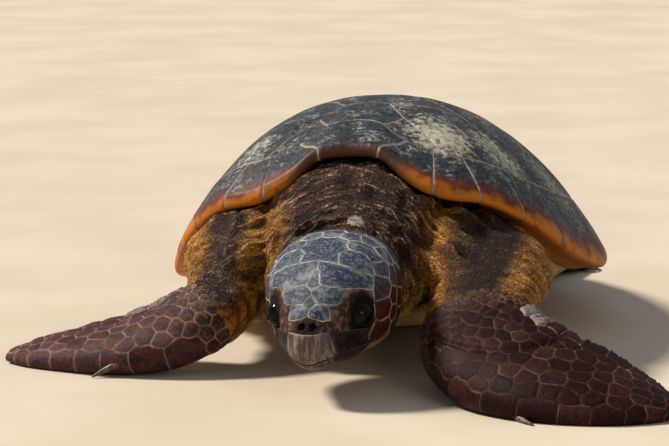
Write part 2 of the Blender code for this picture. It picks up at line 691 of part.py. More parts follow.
def build_tail(look):
    rings = []
    for x, y, z, half, tall in through(TAIL, 2):
        rings.append([Vector((x + half * math.cos(a), y, z + tall * math.sin(a)))
                      for a in (2 * math.pi * k / 10 for k in range(10))])
    return add_object("tail", loft_mesh("tail", rings), look)


# ---------------------------------------------------------------- the whole turtle
def settle():
    """Moves everything so that the floor is z = 0 and the origin is the footprint's middle."""
    bpy.context.view_layer.update()
    solids = [obj for obj in parts.objects if obj.type == "MESH"]
    corners = [obj.matrix_world @ v.co for obj in solids for v in obj.data.vertices]
    low = Vector([min(p[i] for p in corners) for i in range(3)])
    high = Vector([max(p[i] for p in corners) for i in range(3)])
    shift = Matrix.Translation((-(low.x + high.x) / 2, -(low.y + high.y) / 2, -low.z))
    for obj in list(parts.objects) + list(cutters.objects):
        if obj.parent is None:
            obj.matrix_world = shift @ obj.matrix_world
    bpy.context.view_layer.update()
    print("moved by", [round(v, 5) for v in shift.translation], "size", [round(v, 4) for v in high - low])


def main():
    for obj in list(bpy.data.objects):
        bpy.data.objects.remove(obj)
    for collection in (parts, cutters):
        bpy.context.scene.collection.children.link(collection)
    looks = {
        "scute": material("scute", (0.055, 0.060, 0.058), 0.45),
        "rim": material("rim", (0.33, 0.13, 0.03), 0.42),
        "plastron": material("plastron", (0.62, 0.42, 0.16), 0.5),
        "skin": material("skin", (0.22, 0.13, 0.07), 0.6),
        "flipper": material("flipper", (0.10, 0.045, 0.035), 0.5),
        "beak": material("beak", (0.16, 0.14, 0.11), 0.5),
        "eye": material("eye", (0.01, 0.01, 0.01), 0.1),
        "claw": material("claw", (0.25, 0.2, 0.14), 0.5),
    }

    body_frame = bpy.data.objects.new("body_frame", None)
    pivot, lean_line = Vector((0.0, TIP_PIVOT_Y, 0.0)), Vector((0.0, 0.0, LEAN_AXIS_Z))
    body_frame.matrix_basis = (Matrix.Translation(pivot) @ Matrix.Rotation(-SHELL_TIP_UP, 4, "X")
                               @ Matrix.Translation(lean_line - pivot)
                               @ Matrix.Rotation(-SHELL_LEAN, 4, "Y") @ Matrix.Translation(-lean_line))
    head_frame = bpy.data.objects.new("head_frame", None)
    head_frame.matrix_basis = (Matrix.Translation(HEAD_AT) @ Matrix.Rotation(HEAD_YAW, 4, "Z")
                               @ Matrix.Rotation(HEAD_PITCH, 4, "X") @ Matrix.Rotation(HEAD_ROLL, 4, "Y"))
    for frame in (body_frame, head_frame):
        parts.objects.link(frame)
    bpy.context.view_layer.update()

    build_vertebrals(looks["scute"], body_frame)
    build_costals(looks["scute"], body_frame)
    build_rim(looks["rim"], body_frame)
    trunk = build_trunk(looks["skin"], body_frame)
    plastron = build_plastron(looks["plastron"], body_frame)
    build_bridges(looks["plastron"], body_frame)
    head = build_head(looks, head_frame)
    neck = build_neck(looks["skin"], head_frame)
    build_limbs(looks)
    tail = build_tail(looks["skin"])
    bpy.context.view_layer.update()

    named = {obj.name: obj for obj in parts.objects}
    rims = {(word, run): named[f"marginals_{word}_{run}"]
            for word in ("left", "right") for run in ("front", "side", "rear")}
    carve(neck, trunk, plastron, named["nuchal"], rims["left", "front"], rims["right", "front"], head)
    for word in ("left", "right"):
        carve(named[f"bridge_{word}"], trunk, plastron, rims[word, "front"], rims[word, "side"])
        carve(named[f"arm_{word}"], trunk, neck, plastron, named[f"bridge_{word}"],
              rims[word, "front"], rims[word, "side"])
        carve(named[f"thigh_{word}"], trunk, plastron, rims[word, "rear"], rims[word, "side"])
        carve(named[f"hind_flipper_{word}"], rims[word, "rear"])
    carve(tail, trunk, plastron, rims["left", "rear"], rims["right", "rear"])
    settle()


main()
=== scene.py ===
import math

import bmesh
import bpy
import numpy as np
from mathutils import Matrix, Vector, noise
from mathutils.kdtree import KDTree


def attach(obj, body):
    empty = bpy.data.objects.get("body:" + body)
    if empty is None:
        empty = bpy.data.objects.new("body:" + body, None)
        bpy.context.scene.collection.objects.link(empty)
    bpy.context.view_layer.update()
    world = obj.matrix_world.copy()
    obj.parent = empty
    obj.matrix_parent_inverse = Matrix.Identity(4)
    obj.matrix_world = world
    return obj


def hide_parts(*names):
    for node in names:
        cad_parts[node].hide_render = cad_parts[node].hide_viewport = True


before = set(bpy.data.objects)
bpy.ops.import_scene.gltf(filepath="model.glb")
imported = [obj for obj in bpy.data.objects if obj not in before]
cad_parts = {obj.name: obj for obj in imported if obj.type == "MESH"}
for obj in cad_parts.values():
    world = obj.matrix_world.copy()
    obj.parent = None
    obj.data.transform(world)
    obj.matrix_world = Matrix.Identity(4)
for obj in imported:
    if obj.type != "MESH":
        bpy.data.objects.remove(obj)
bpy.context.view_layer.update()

# ---------------------------------------------------------------- the carapace: its surface
# The shell of an adult loggerhead is one smooth bony dome, longer than it is wide, that rises behind the
# neck and falls to a thin rim all round. Its horny plates all follow this one surface, drawn level here,
# then leaned a little on its right side and tipped nose-up about the belly's rear end, as it rests.
TIP_UP, PIVOT_Y = math.radians(4.5), 0.86
LEAN, LEAN_Z = math.radians(3.0), 0.12
TAIL_TIP_Y = 0.945                       # in this level drawing
DOME_TOP = (0.0, 0.30, 0.342)
CROWN_CURVE, FLANK_CURVE, DOME_FULLNESS = 2.0, 0.3, 0.88
RIM = [(0.0, 0.012, 0.272), (0.05, 0.004, 0.266), (0.095, -0.008, 0.230), (0.15, -0.004, 0.203),
       (0.215, 0.030, 0.189), (0.277, 0.10, 0.150), (0.327, 0.20, 0.096), (0.357, 0.32, 0.064),
       (0.358, 0.45, 0.055), (0.330, 0.58, 0.060), (0.273, 0.70, 0.078), (0.19, 0.80, 0.095),
       (0.09, 0.865, 0.105), (0.0, 0.885, 0.11)]
MARGINAL_WIDTHS = [1.0, 0.72, 0.85, 1.0, 1.0, 1.1, 1.1, 1.1, 1.1, 1.03, 1.0, 1.0]
MARGINALS = len(MARGINAL_WIDTHS)
RIM_THICK, SAW_TEETH = 0.017, 0.006
NUCHAL_HALF, NUCHAL_FLARE, NUCHAL_SEAM = 0.047, math.radians(20.3), 0.58
RIM_BAND = [(0, 0.086), (12, 0.086), (20.3, 0.076), (34, 0.057), (60, 0.056), (180, 0.056)]
SKEWED = 1.5                             # marginals it takes for their seams to turn radial

tail = np.array([v.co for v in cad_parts["tail"].data.vertices])
tail_end = tail[:, 1].max()
tail_tip = tail[tail[:, 1] > tail_end - 0.001].mean(axis=0)
resting = Matrix.Translation((tail_tip[0], tail_end - TAIL_TIP_Y, 0.0))
pivot, lean_line = Vector((0.0, PIVOT_Y, 0.0)), Vector((0.0, 0.0, LEAN_Z))
shell_place = (resting @ Matrix.Translation(pivot) @ Matrix.Rotation(-TIP_UP, 4, "X")
               @ Matrix.Translation(lean_line - pivot) @ Matrix.Rotation(-LEAN, 4, "Y")
               @ Matrix.Translation(-lean_line))


def bend(a, b, c, d, count):
    """Points of the smooth curve from b towards c, where a comes before them and d after."""
    return [(b * 2 + (c - a) * t + (a * 2 - b * 5 + c * 4 - d) * t * t
             + (b * 3 - a - c * 3 + d) * t ** 3) * 0.5 for t in np.arange(count) / count]


def through(stations, count):
    """Points of a smooth curve through the stations."""
    rows = np.array(stations, float)
    last = len(rows) - 1
    made = []
    for i in range(last):
        made += bend(rows[max(i - 1, 0)], rows[i], rows[i + 1], rows[min(i + 2, last)], count)
    return np.array(made + [rows[-1]])


def run_of(points):
    """How far along a line each of its points lies."""
    return np.concatenate([[0.0], np.cumsum(np.linalg.norm(np.diff(points, axis=0), axis=1))])


def eased(value, low, high):
    """0 below low, 1 above high, and a soft S between them."""
    t = np.clip((value - low) / (high - low), 0.0, 1.0)
    return t * t * (3 - 2 * t)


rim_line = through(RIM, 60)
rim_angles = np.arctan2(rim_line[:, 0], DOME_TOP[1] - rim_line[:, 1])
rim_lengths = run_of(rim_line)
by_neck, by_flank = slice(0, 140), slice(200, 540)       # where the rim runs outwards, and backwards
nuchal_end = np.interp(NUCHAL_HALF, rim_line[by_neck, 0], rim_lengths[by_neck])
NUCHAL_COUNT = nuchal_end * MARGINALS / (rim_lengths[-1] - nuchal_end)


def rim_at(angle):
    """The rim's line in directions in plan from the dome's top."""
    return np.stack([np.interp(angle, rim_angles, rim_line[:, i]) for i in range(3)], axis=-1)


def marginal_angle(count):
    """Direction in plan of the place that many marginal plates from the nuchal plate."""
    done = np.interp(count, np.arange(MARGINALS + 1), np.concatenate([[0], np.cumsum(MARGINAL_WIDTHS)]))
    along = nuchal_end + (rim_lengths[-1] - nuchal_end) * done / sum(MARGINAL_WIDTHS)
    at_rim = np.interp(along, rim_lengths, rim_angles)
    nuchal_side = np.interp(nuchal_end, rim_lengths, rim_angles)
    return np.where(np.asarray(count) < 0, nuchal_side * (count + NUCHAL_COUNT) / NUCHAL_COUNT, at_rim)


def inner_angle(count):
    """Where the seam from that place meets the inner border of the rim plates."""
    skew = (NUCHAL_FLARE - marginal_angle(0.0)) * np.maximum(1 - np.asarray(count) / SKEWED, 0.0)
    return np.where(np.asarray(count) < 0, NUCHAL_FLARE * (count + NUCHAL_COUNT) / NUCHAL_COUNT,
                    marginal_angle(count) + skew)


def band_share(angle):
    """How much of the way from the dome's top to the rim lies inside the rim plates."""
    rim = rim_at(angle)
    band = np.interp(np.degrees(angle), [d for d, b in RIM_BAND], [b for d, b in RIM_BAND])
    return 1 - band / np.hypot(rim[..., 0], rim[..., 1] - DOME_TOP[1])


def on_shell(angle, share):
    """Points of the carapace: share 0 at the dome's top and 1 at the rim."""
    rim = rim_at(angle)
    power = CROWN_CURVE + FLANK_CURVE * np.sin(angle) ** 2
    height = (1 - np.minimum(share, 1.0) ** power) ** DOME_FULLNESS
    return np.stack([rim[..., 0] * share, DOME_TOP[1] + (rim[..., 1] - DOME_TOP[1]) * share,
                     rim[..., 2] + (DOME_TOP[2] - rim[..., 2]) * height], axis=-1)


def shell_place_of(x, y):
    """For places in plan: the direction, the share of the way to the rim, and the rim and its distance."""
    angle = np.arctan2(np.abs(x), DOME_TOP[1] - y)
    rim = rim_at(angle)
    reach = np.hypot(rim[..., 0], rim[..., 1] - DOME_TOP[1])
    return angle, np.hypot(x, y - DOME_TOP[1]) / reach, rim, reach


def shell_above(plan):
    """Points of the carapace over places in plan."""
    angle, share, _, _ = shell_place_of(plan[..., 0], plan[..., 1])
    return np.stack([plan[..., 0], plan[..., 1], on_shell(angle, share)[..., 2]], axis=-1)


# ---------------------------------------------------------------- the carapace: vertebrals and costals
# Five vertebral plates run down the back with five costals on each side: thin keratin, dark slate with
# brown rays from where each plate began to grow. Each is worn smooth and rounds down to the pale soft
# horn of its seams, which all meet under the neighbours' edges.
SEAM_DEPTH, SEAM_ROUND = 0.0017, 0.0050
PLATE_DEPTH, PLATE_CROWN = 0.006, 0.0006
SEAM_WAVE = 22.0, 0.0022                 # size and reach of the seams' wandering
BROAD_SWELL, FINE_SWELL = (15.0, 0.0013), (60.0, 0.00022)
RING_WIDTH, RING_HEIGHT = 0.0095, 0.00016
VERTEBRAL_SEAMS = [(0.200, 0.037), (0.365, 0.042), (0.530, 0.042), (0.695, 0.044)]
VERTEBRAL_CORNERS = [(0.069, 0.138), (0.088, 0.288), (0.090, 0.450), (0.086, 0.615), (0.098, 0.785)]
COSTAL_ENDS = [0.0, 1.6, 3.7, 6.0, 8.4, 10.4]
FIRST_CORNER = -NUCHAL_COUNT * (1 - NUCHAL_SEAM)


class Finish:
    """A surface whose colour, gloss and grain are laid on in steps."""

    def __init__(self, name, **sockets):
        self.material = bpy.data.materials.new(name)
        self.material.use_nodes = True
        self.tree = self.material.node_tree
        self.shader = self.tree.nodes["Principled BSDF"]
        for socket, value in sockets.items():
            self.shader.inputs[socket.replace("_", " ")].default_value = value
        self.place = self.node("ShaderNodeTexCoord").outputs["Object"]

    def node(self, kind, links=(), **settings):
        """A step of the finish; its links are values, or what other steps give."""
        made = self.tree.nodes.new(kind)
        for key, value in settings.items():
            setattr(made, key, value)
        for socket, source in dict(links).items():
            if isinstance(source, (int, float, tuple)):
                made.inputs[socket].default_value = source
            else:
                self.tree.links.new(source, made.inputs[socket])
        return made

    def mark(self, name):
        """A value that the mesh carries at each of its points."""
        return self.node("ShaderNodeAttribute", attribute_name=name).outputs["Fac"]

    def marks(self, name):
        """Three values that the mesh carries at each of its points."""
        return self.node("ShaderNodeAttribute", attribute_name=name).outputs["Vector"]

    def cloud(self, scale, detail=4.0, rough=0.6, at=None, warp=0.0):
        """Soft uneven noise about a middle of 0.5."""
        return self.node("ShaderNodeTexNoise", {"Vector": at or self.place, "Scale": scale, "Detail": detail,
                                                "Roughness": rough, "Distortion": warp}).outputs["Fac"]

    def cells(self, scale, at=None, scatter=1.0):
        """Distance from the borders of scattered cells."""
        return self.node("ShaderNodeTexVoronoi", {"Vector": at or self.place, "Scale": scale, "Randomness": scatter},
                         feature="DISTANCE_TO_EDGE").outputs["Distance"]

    def stretched(self, at, scale):
        return self.node("ShaderNodeMapping", {"Vector": at, "Scale": scale}).outputs["Vector"]

    def ease(self, value, low, high, to_low=0.0, to_high=1.0):
        """A soft step from one amount to another as a value goes from low to high."""
        return self.node("ShaderNodeMapRange", {"Value": value, "From Min": low, "From Max": high,
                                                "To Min": to_low, "To Max": to_high},
                         interpolation_type="SMOOTHSTEP").outputs["Result"]

    def times(self, a, b):
        return self.node("ShaderNodeMath", {0: a, 1: b}, operation="MULTIPLY").outputs[0]

    def plus(self, a, b):
        return self.node("ShaderNodeMath", {0: a, 1: b}, operation="ADD").outputs[0]

    def over(self, under, colour, amount):
        """Lays a colour over another by an amount."""
        made = self.node("ShaderNodeMix", data_type="RGBA")
        for number, source in ((0, amount), (6, under), (7, colour)):
            if isinstance(source, tuple):
                made.inputs[number].default_value = (*source, 1.0)
            elif isinstance(source, float):
                made.inputs[number].default_value = source
            else:
                self.tree.links.new(source, made.inputs[number])
        return made.outputs[2]

    def laid(self, colour, *coats):
        """Lays coats over a colour in turn, each a colour and its amount."""
        for tint, amount in coats:
            colour = self.over(colour, tint, amount)
        return colour

    def between(self, low, high, amount):
        return self.node("ShaderNodeMix", {0: amount, 2: low, 3: high}, data_type="FLOAT").outputs[0]

    def finish(self, colour, rough=None, grain=None, grain_depth=0.001, fine=None, fine_depth=0.0003):
        """The material, with its colour, roughness, and the heights of its coarse and fine grain."""
        self.tree.links.new(colour, self.shader.inputs["Base Color"])
        if rough is not None:
            self.tree.links.new(rough, self.shader.inputs["Roughness"])
        normal = None
        for height, depth in ((grain, grain_depth), (fine, fine_depth)):
            if height is not None:
                bump = self.node("ShaderNodeBump", {"Height": height, "Distance": depth, "Strength": 1.0})
                if normal is not None:
                    self.tree.links.new(normal, bump.inputs["Normal"])
                normal = bump.outputs["Normal"]
        if normal is not None:
            self.tree.links.new(normal, self.shader.inputs["Normal"])
        return self.material


def horn_finish(name, with_amber):
    """Keratin of the shell: slate with brown rays, pale seams, dried dust, and amber at the rim."""
    slate, dull_slate, ray_brown = (0.013, 0.021, 0.036), (0.020, 0.020, 0.018), (0.085, 0.040, 0.022)
    worn_grey, pale_flake, black = (0.056, 0.066, 0.074), (0.290, 0.285, 0.245), (0.004, 0.006, 0.010)
    seam_pale, seam_brown, dry_sand = (0.42, 0.37, 0.31), (0.10, 0.075, 0.055), (0.44, 0.40, 0.31)
    rim_red, gold, gold_fleck = (0.095, 0.016, 0.006), (0.43, 0.130, 0.005), (0.14, 0.034, 0.004)
    neck_brown = (0.072, 0.022, 0.010)
    horn = Finish(name, Specular_IOR_Level=0.15, Coat_Weight=0.03, Coat_Roughness=0.25)
    rays = horn.cloud(1.0, 5.0, 0.65, horn.stretched(horn.marks("growth"), (9.0, 14.0, 1.0)), 0.4)
    patches = horn.cloud(14.0, 4.0, 0.6)
    mottle = horn.cloud(30.0, 8.0, 0.80, None, 0.5)
    speck = horn.cloud(150.0, 5.0, 0.75)
    flakes = horn.times(horn.ease(mottle, 0.50, 0.62, 0.06, 1.0), horn.ease(speck, 0.49, 0.56, 0.0, 0.95))
    colour = horn.laid(slate,
                       (dull_slate, horn.ease(patches, 0.42, 0.58)),
                       (ray_brown, horn.ease(rays, 0.52, 0.72, 0.0, 0.70)),
                       (worn_grey, horn.ease(mottle, 0.47, 0.60, 0.0, 0.72)),
                       (pale_flake, flakes),
                       (black, horn.ease(speck, 0.48, 0.38, 0.0, 0.90)))
    if with_amber:
        out = horn.plus(horn.mark("outward"), horn.ease(horn.cloud(22.0, 3.0), 0.3, 0.7, -0.10, 0.10))
        amber = horn.mark("amber")
        golden = horn.times(horn.ease(out, 0.80, 1.02), amber)
        flecks = horn.ease(horn.cloud(60.0, 4.0, 0.7, horn.stretched(horn.place, (1.0, 1.0, 0.35))), 0.55, 0.72)
        plain = horn.times(horn.ease(horn.mark("outward"), 0.70, 1.1), horn.plus(1.0, horn.times(amber, -1.0)))
        colour = horn.laid(colour,
                           (rim_red, horn.times(horn.ease(out, 0.52, 0.86), amber)),
                           (gold, golden),
                           (gold_fleck, horn.times(flecks, horn.times(golden, 0.85))),
                           (neck_brown, plain))
    worn = horn.plus(horn.mark("edge"), horn.ease(horn.cloud(160.0, 3.0), 0.3, 0.7, -0.0005, 0.0005))
    crumbs = horn.cloud(95.0, 6.0, 0.75)
    dust = horn.ease(horn.plus(horn.mark("dust"), crumbs), 0.98, 1.18)
    colour = horn.laid(colour,
                       (seam_pale, horn.ease(worn, 0.0021, 0.0009, 0.0, 0.85)),
                       (seam_brown, horn.ease(worn, 0.0065, 0.0022, 0.0, 0.35)),
                       (dry_sand, horn.times(dust, 0.85)))
    rough = horn.between(horn.ease(patches, 0.35, 0.65, 0.40, 0.56), 0.85, dust)
    grain = horn.plus(horn.cloud(240.0, 3.0, 0.6), horn.times(dust, crumbs))
    return horn.finish(colour, rough, grain, 0.0008, horn.plus(rays, horn.times(mottle, 0.8)), 0.0010)


scute_horn = horn_finish("scute_horn", False)


def marked_mesh(name, points, faces, look, marks, sharp=60):
    """A mesh with its material and the values that its points carry."""
    mesh = bpy.data.meshes.new(name)
    mesh.from_pydata(np.asarray(points, float).tolist(), [], faces)
    for key, values in marks.items():
        values = np.asarray(values, np.float32)
        kind = "FLOAT" if values.ndim == 1 else "FLOAT_VECTOR"
        layer = mesh.attributes.new(key, kind, "POINT")
        layer.data.foreach_set("value" if values.ndim == 1 else "vector", values.ravel())
    mesh.materials.append(look)
    mesh.update()
    mesh.shade_smooth()
    if sharp:
        mesh.set_sharp_from_angle(angle=math.radians(sharp))
    obj = bpy.data.objects.new(name, mesh)
    bpy.context.scene.collection.objects.link(obj)
    return obj


def placed(points, place):
    """Points carried from a drawing's own frame to where they lie."""
    m = np.array(place)
    return np.asarray(points) @ m[:3, :3].T + m[:3, 3]


def spaced(length, step):
    """Shares of a length: close together beside both ends, and evenly spaced between them."""
    near = np.array([0.0, 0.0008, 0.0018, 0.0032, 0.0052])
    middle = np.linspace(0.0080, length - 0.0080, max(int(length / step), 3))
    return np.concatenate([near, middle, length - near[::-1]]) / length


def waver(points, size, reach, seed):
    """Small smooth noise at points."""
    return np.array([noise.noise(Vector((p[0] * size, p[1] * size, (p[2] if len(p) > 2 else 0) * size + seed)))
                     for p in points.reshape(-1, points.shape[-1])]).reshape(points.shape[:-1]) * reach


def line_point(line, t):
    """Points of a line at shares of its number of points."""
    place = np.clip(t, 0, 1) * (len(line) - 1)
    i = np.minimum(place.astype(int), len(line) - 2)
    return line[i] + (line[i + 1] - line[i]) * (place - i)[..., None]


def patch(front, rear, left, right, step):
    """Plan points of a four-sided plate, with each point's distance from the plate's edge."""
    u = spaced((np.linalg.norm(front[-1] - front[0]) + np.linalg.norm(rear[-1] - rear[0])) / 2, step)
    v = spaced((np.linalg.norm(left[-1] - left[0]) + np.linalg.norm(right[-1] - right[0])) / 2, step)
    V, U = np.meshgrid(v, u, indexing="ij")
    sides = line_point(left, V) * (1 - U[..., None]) + line_point(right, V) * U[..., None]
    ends = line_point(front, U) * (1 - V[..., None]) + line_point(rear, U) * V[..., None]
    corners = ((front[0] * (1 - U[..., None]) + front[-1] * U[..., None]) * (1 - V[..., None])
               + (rear[0] * (1 - U[..., None]) + rear[-1] * U[..., None]) * V[..., None])
    grid = sides + ends - corners
    across = np.linalg.norm(grid[:, -1] - grid[:, 0], axis=-1)[:, None]
    along = np.linalg.norm(grid[-1] - grid[0], axis=-1)[None, :]
    edge = np.minimum(np.minimum(U, 1 - U) * across, np.minimum(V, 1 - V) * along)
    return grid, edge


def sunk_edge(edge):
    """How far a plate's face lies below the shell's surface near its edge."""
    return SEAM_DEPTH * (1 - np.minimum(edge / SEAM_ROUND, 1.0)) ** 2


def grid_normals(grid, closed=False):
    """Directions square to a grid of points."""
    if closed:
        du = np.roll(grid, -1, axis=1) - np.roll(grid, 1, axis=1)
    else:
        du = np.gradient(grid, axis=1)
    dv = np.gradient(grid, axis=0)
    n = np.cross(du, dv)
    return n / np.maximum(np.linalg.norm(n, axis=-1, keepdims=True), 1e-12)


DUST = [((0.13, 0.10), 0.12, 0.66), ((0.22, 0.17), 0.11, 0.64), ((0.06, 0.20), 0.08, 0.52),
        ((0.29, 0.30), 0.12, 0.62), ((0.34, 0.44), 0.12, 0.56), ((0.17, 0.30), 0.09, 0.54),
        ((0.02, 0.33), 0.09, 0.48), ((-0.17, 0.11), 0.09, 0.58), ((-0.10, 0.07), 0.06, 0.54),
        ((-0.24, 0.19), 0.08, 0.52), ((0.10, 0.45), 0.12, 0.48), ((-0.16, 0.50), 0.12, 0.44),
        ((0.20, 0.66), 0.10, 0.44), ((-0.08, 0.70), 0.10, 0.42)]


def dust_at(points):
    """Where dry sand has stuck to the level drawing of the shell."""
    made = np.full(points.shape[:-1], 0.18)
    for (x, y), reach, amount in DUST:
        near = np.exp(-((points[..., 0] - x) ** 2 + (points[..., 1] - y) ** 2) / (2 * reach * reach) * 2.2)
        made = np.maximum(made, amount * near)
    return made


def add_scute(name, grid, edge, side, start, node):
    """One plate: its face on the dome, sides down to the bone, and a plain back."""
    plan = grid + np.stack([waver(grid, *SEAM_WAVE, 3.0), waver(grid, *SEAM_WAVE, 9.0)], axis=-1)
    plan[..., 0] *= side
    face = shell_above(plan)
    normals = grid_normals(face)
    normals *= np.sign(normals[..., 2:3])
    swell = waver(face, *BROAD_SWELL, 1.0) + waver(face, *FINE_SWELL, 5.0)
    rings = np.sin(edge * (2 * math.pi / RING_WIDTH)) * RING_HEIGHT * np.exp(-edge / 0.03)
    out = PLATE_CROWN * eased(edge, 0.0, 0.04) - sunk_edge(edge) + (swell + rings) * eased(edge, 0.0, 0.008)
    face = face + normals * out[..., None]
    rows, columns = edge.shape
    points = face.reshape(-1, 3)
    edge_loop = (list(range(columns)) + [i * columns + columns - 1 for i in range(1, rows)]
                 + [(rows - 1) * columns + k for k in range(columns - 2, -1, -1)]
                 + [i * columns for i in range(rows - 2, 0, -1)])
    sides = points[edge_loop] - normals.reshape(-1, 3)[edge_loop] * PLATE_DEPTH
    faces = []
    for i in range(rows - 1):
        for k in range(columns - 1):
            a = i * columns + k
            quad = (a, a + 1, a + columns + 1, a + columns)
            faces.append(quad if side > 0 else quad[::-1])
    first, count = len(points), len(edge_loop)
    for k in range(count):
        a, b = edge_loop[k], edge_loop[(k + 1) % count]
        quad = (b, a, first + k, first + (k + 1) % count)
        faces.append(quad if side > 0 else quad[::-1])
    back = tuple(range(first, first + count))
    faces.append(back if side < 0 else back[::-1])
    offset = points[:, :2] - np.array([start[0] * side, start[1]])
    fan = np.arctan2(offset[:, 0], offset[:, 1])
    own_rays = np.full(len(points), len(name) + start[1] * 9)
    growth = np.stack([fan, np.linalg.norm(offset, axis=1), own_rays], axis=1)
    marks = {"edge": np.concatenate([edge.ravel(), np.zeros(count)]),
             "growth": np.concatenate([growth, growth[edge_loop]]),
             "dust": np.concatenate([dust_at(points), dust_at(points[edge_loop])])}
    obj = marked_mesh(name, placed(np.concatenate([points, sides]), shell_place), faces, scute_horn, marks)
    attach(obj, "root")
    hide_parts(node)


def band_line(start, end, count=24):
    """Plan points along the inner border of the rim plates."""
    angle = inner_angle(np.linspace(start, end, count + 1))
    return on_shell(angle, band_share(angle))[:, :2]


def mirrored(line):
    """A line in plan reflected across the middle, and run backwards so that it leads into its twin."""
    return (line * np.array([-1.0, 1.0]))[::-1]


front_half = band_line(-NUCHAL_COUNT, FIRST_CORNER)
front = np.concatenate([mirrored(front_half)[:-1], front_half])
for i, (half, y) in enumerate(VERTEBRAL_CORNERS):
    if i < len(VERTEBRAL_CORNERS) - 1:
        seam_y, seam_half = VERTEBRAL_SEAMS[i]
        rear = np.array([(-seam_half, seam_y), (seam_half, seam_y)])
    else:
        rear_half = band_line(MARGINALS, COSTAL_ENDS[-1])
        rear = np.concatenate([mirrored(rear_half)[:-1], rear_half])
    left = np.array([front[0], (-half, y), rear[0]])
    right = np.array([front[-1], (half, y), rear[-1]])
    grid, edge = patch(front, rear, left, right, 0.0036)
    add_scute(f"scute_vertebral_{i + 1}", grid, edge, 1, (0.0, rear[0][1] - 0.02), f"vertebral_{i + 1}")
    front = rear

corners = [np.array(c) for c in VERTEBRAL_CORNERS]
seams = [np.array((half, y)) for y, half in VERTEBRAL_SEAMS]
for i in range(5):
    outer = band_line(COSTAL_ENDS[i], COSTAL_ENDS[i + 1])
    if i == 0:
        front = band_line(FIRST_CORNER, 0.0)
        inner = np.array([front[0], corners[0]])
    else:
        inner = np.array([corners[i - 1], seams[i - 1], corners[i]])
        front = np.array([inner[0], outer[0]])
    rear = np.array([inner[-1], outer[-1]])
    grid, edge = patch(front, rear, inner, outer, 0.0038)
    for side, word in ((1, "left"), (-1, "right")):
        add_scute(f"scute_costal_{word}_{i + 1}", grid, edge, side, tuple(inner[-1] + (0.03, -0.02)),
                  f"costal_{word}_{i + 1}")

# ---------------------------------------------------------------- the carapace: nuchal and marginals
# Twelve marginal plates on each side and the nuchal plate over the neck fold round the bony rim. They are
# slate above like the rest, turn red-brown outwards, and end in a thick smooth edge of amber horn that
# carries on underneath. Behind the bridge their rear corners stand out in blunt teeth.
rim_horn = horn_finish("rim_horn", True)
SECTION_STEPS = 6                        # points for each stretch of a rim section
FACE_PLACES = (0.0, 0.18, 0.36, 0.54, 0.70, 0.84, 0.95)
UNDER_PLACES = ((0.006, 0.95), (0.030, 0.85), (0.062, 0.55))     # distance in from the edge, depth
TOOTHED_FROM = 5
RIM_BACK_DEPTH = 0.013


def rim_section(count, side):
    """The closed outline across the rim at one place: over the top, round the edge and back below."""
    angle, inward = float(marginal_angle(count)), float(inner_angle(count))
    rim = rim_at(angle)
    out = np.array([rim[0], rim[1] - DOME_TOP[1], 0.0])
    reach = np.linalg.norm(out)
    share = max(count, 0.0) % 1.0 if count < MARGINALS else 0.0
    jut = out / reach * SAW_TEETH * min(max(count - TOOTHED_FROM, 0.0) / 5, 1.0) * share ** 2
    over = []
    for t in FACE_PLACES:
        here = inward + (angle - inward) * t
        inside = float(band_share(here))
        over.append(on_shell(here, inside + (1 - inside) * t) + jut * t * t)
    edge = on_shell(angle, 1.0) - (0, 0, RIM_THICK * 0.45) + jut
    below = []
    for distance, drop in UNDER_PLACES:
        p = on_shell(angle, 1 - distance / reach)
        below.append(np.array([p[0], p[1], rim[2] - RIM_THICK * drop])
                     + jut * (1 - distance / UNDER_PLACES[-1][0]))
    loop = np.array(over + [edge] + below + [over[0] - (0, 0, RIM_BACK_DEPTH)])
    loop[:, 0] *= side
    return loop


def round_section(loop):
    """The smooth outline through a rim section, sharp only where it turns down beside the costals."""
    made = []
    for i in range(len(loop) - 1):
        made += bend(loop[max(i - 1, 0)], loop[i], loop[i + 1], loop[(i + 2) % len(loop)], SECTION_STEPS)
    return np.array(made + bend(loop[-1], loop[-1], loop[0], loop[0], SECTION_STEPS))


def tube_faces(rows, count, turn=1):
    """Faces of a closed tube: its wall from ring to ring, and a cap at each end."""
    wall = [(i * count + k, i * count + (k + 1) % count, (i + 1) * count + (k + 1) % count, (i + 1) * count + k)
            for i in range(rows - 1) for k in range(count)]
    caps = [tuple(range(count))[::-1], tuple((rows - 1) * count + k for k in range(count))]
    return [face[::turn] for face in wall + caps]


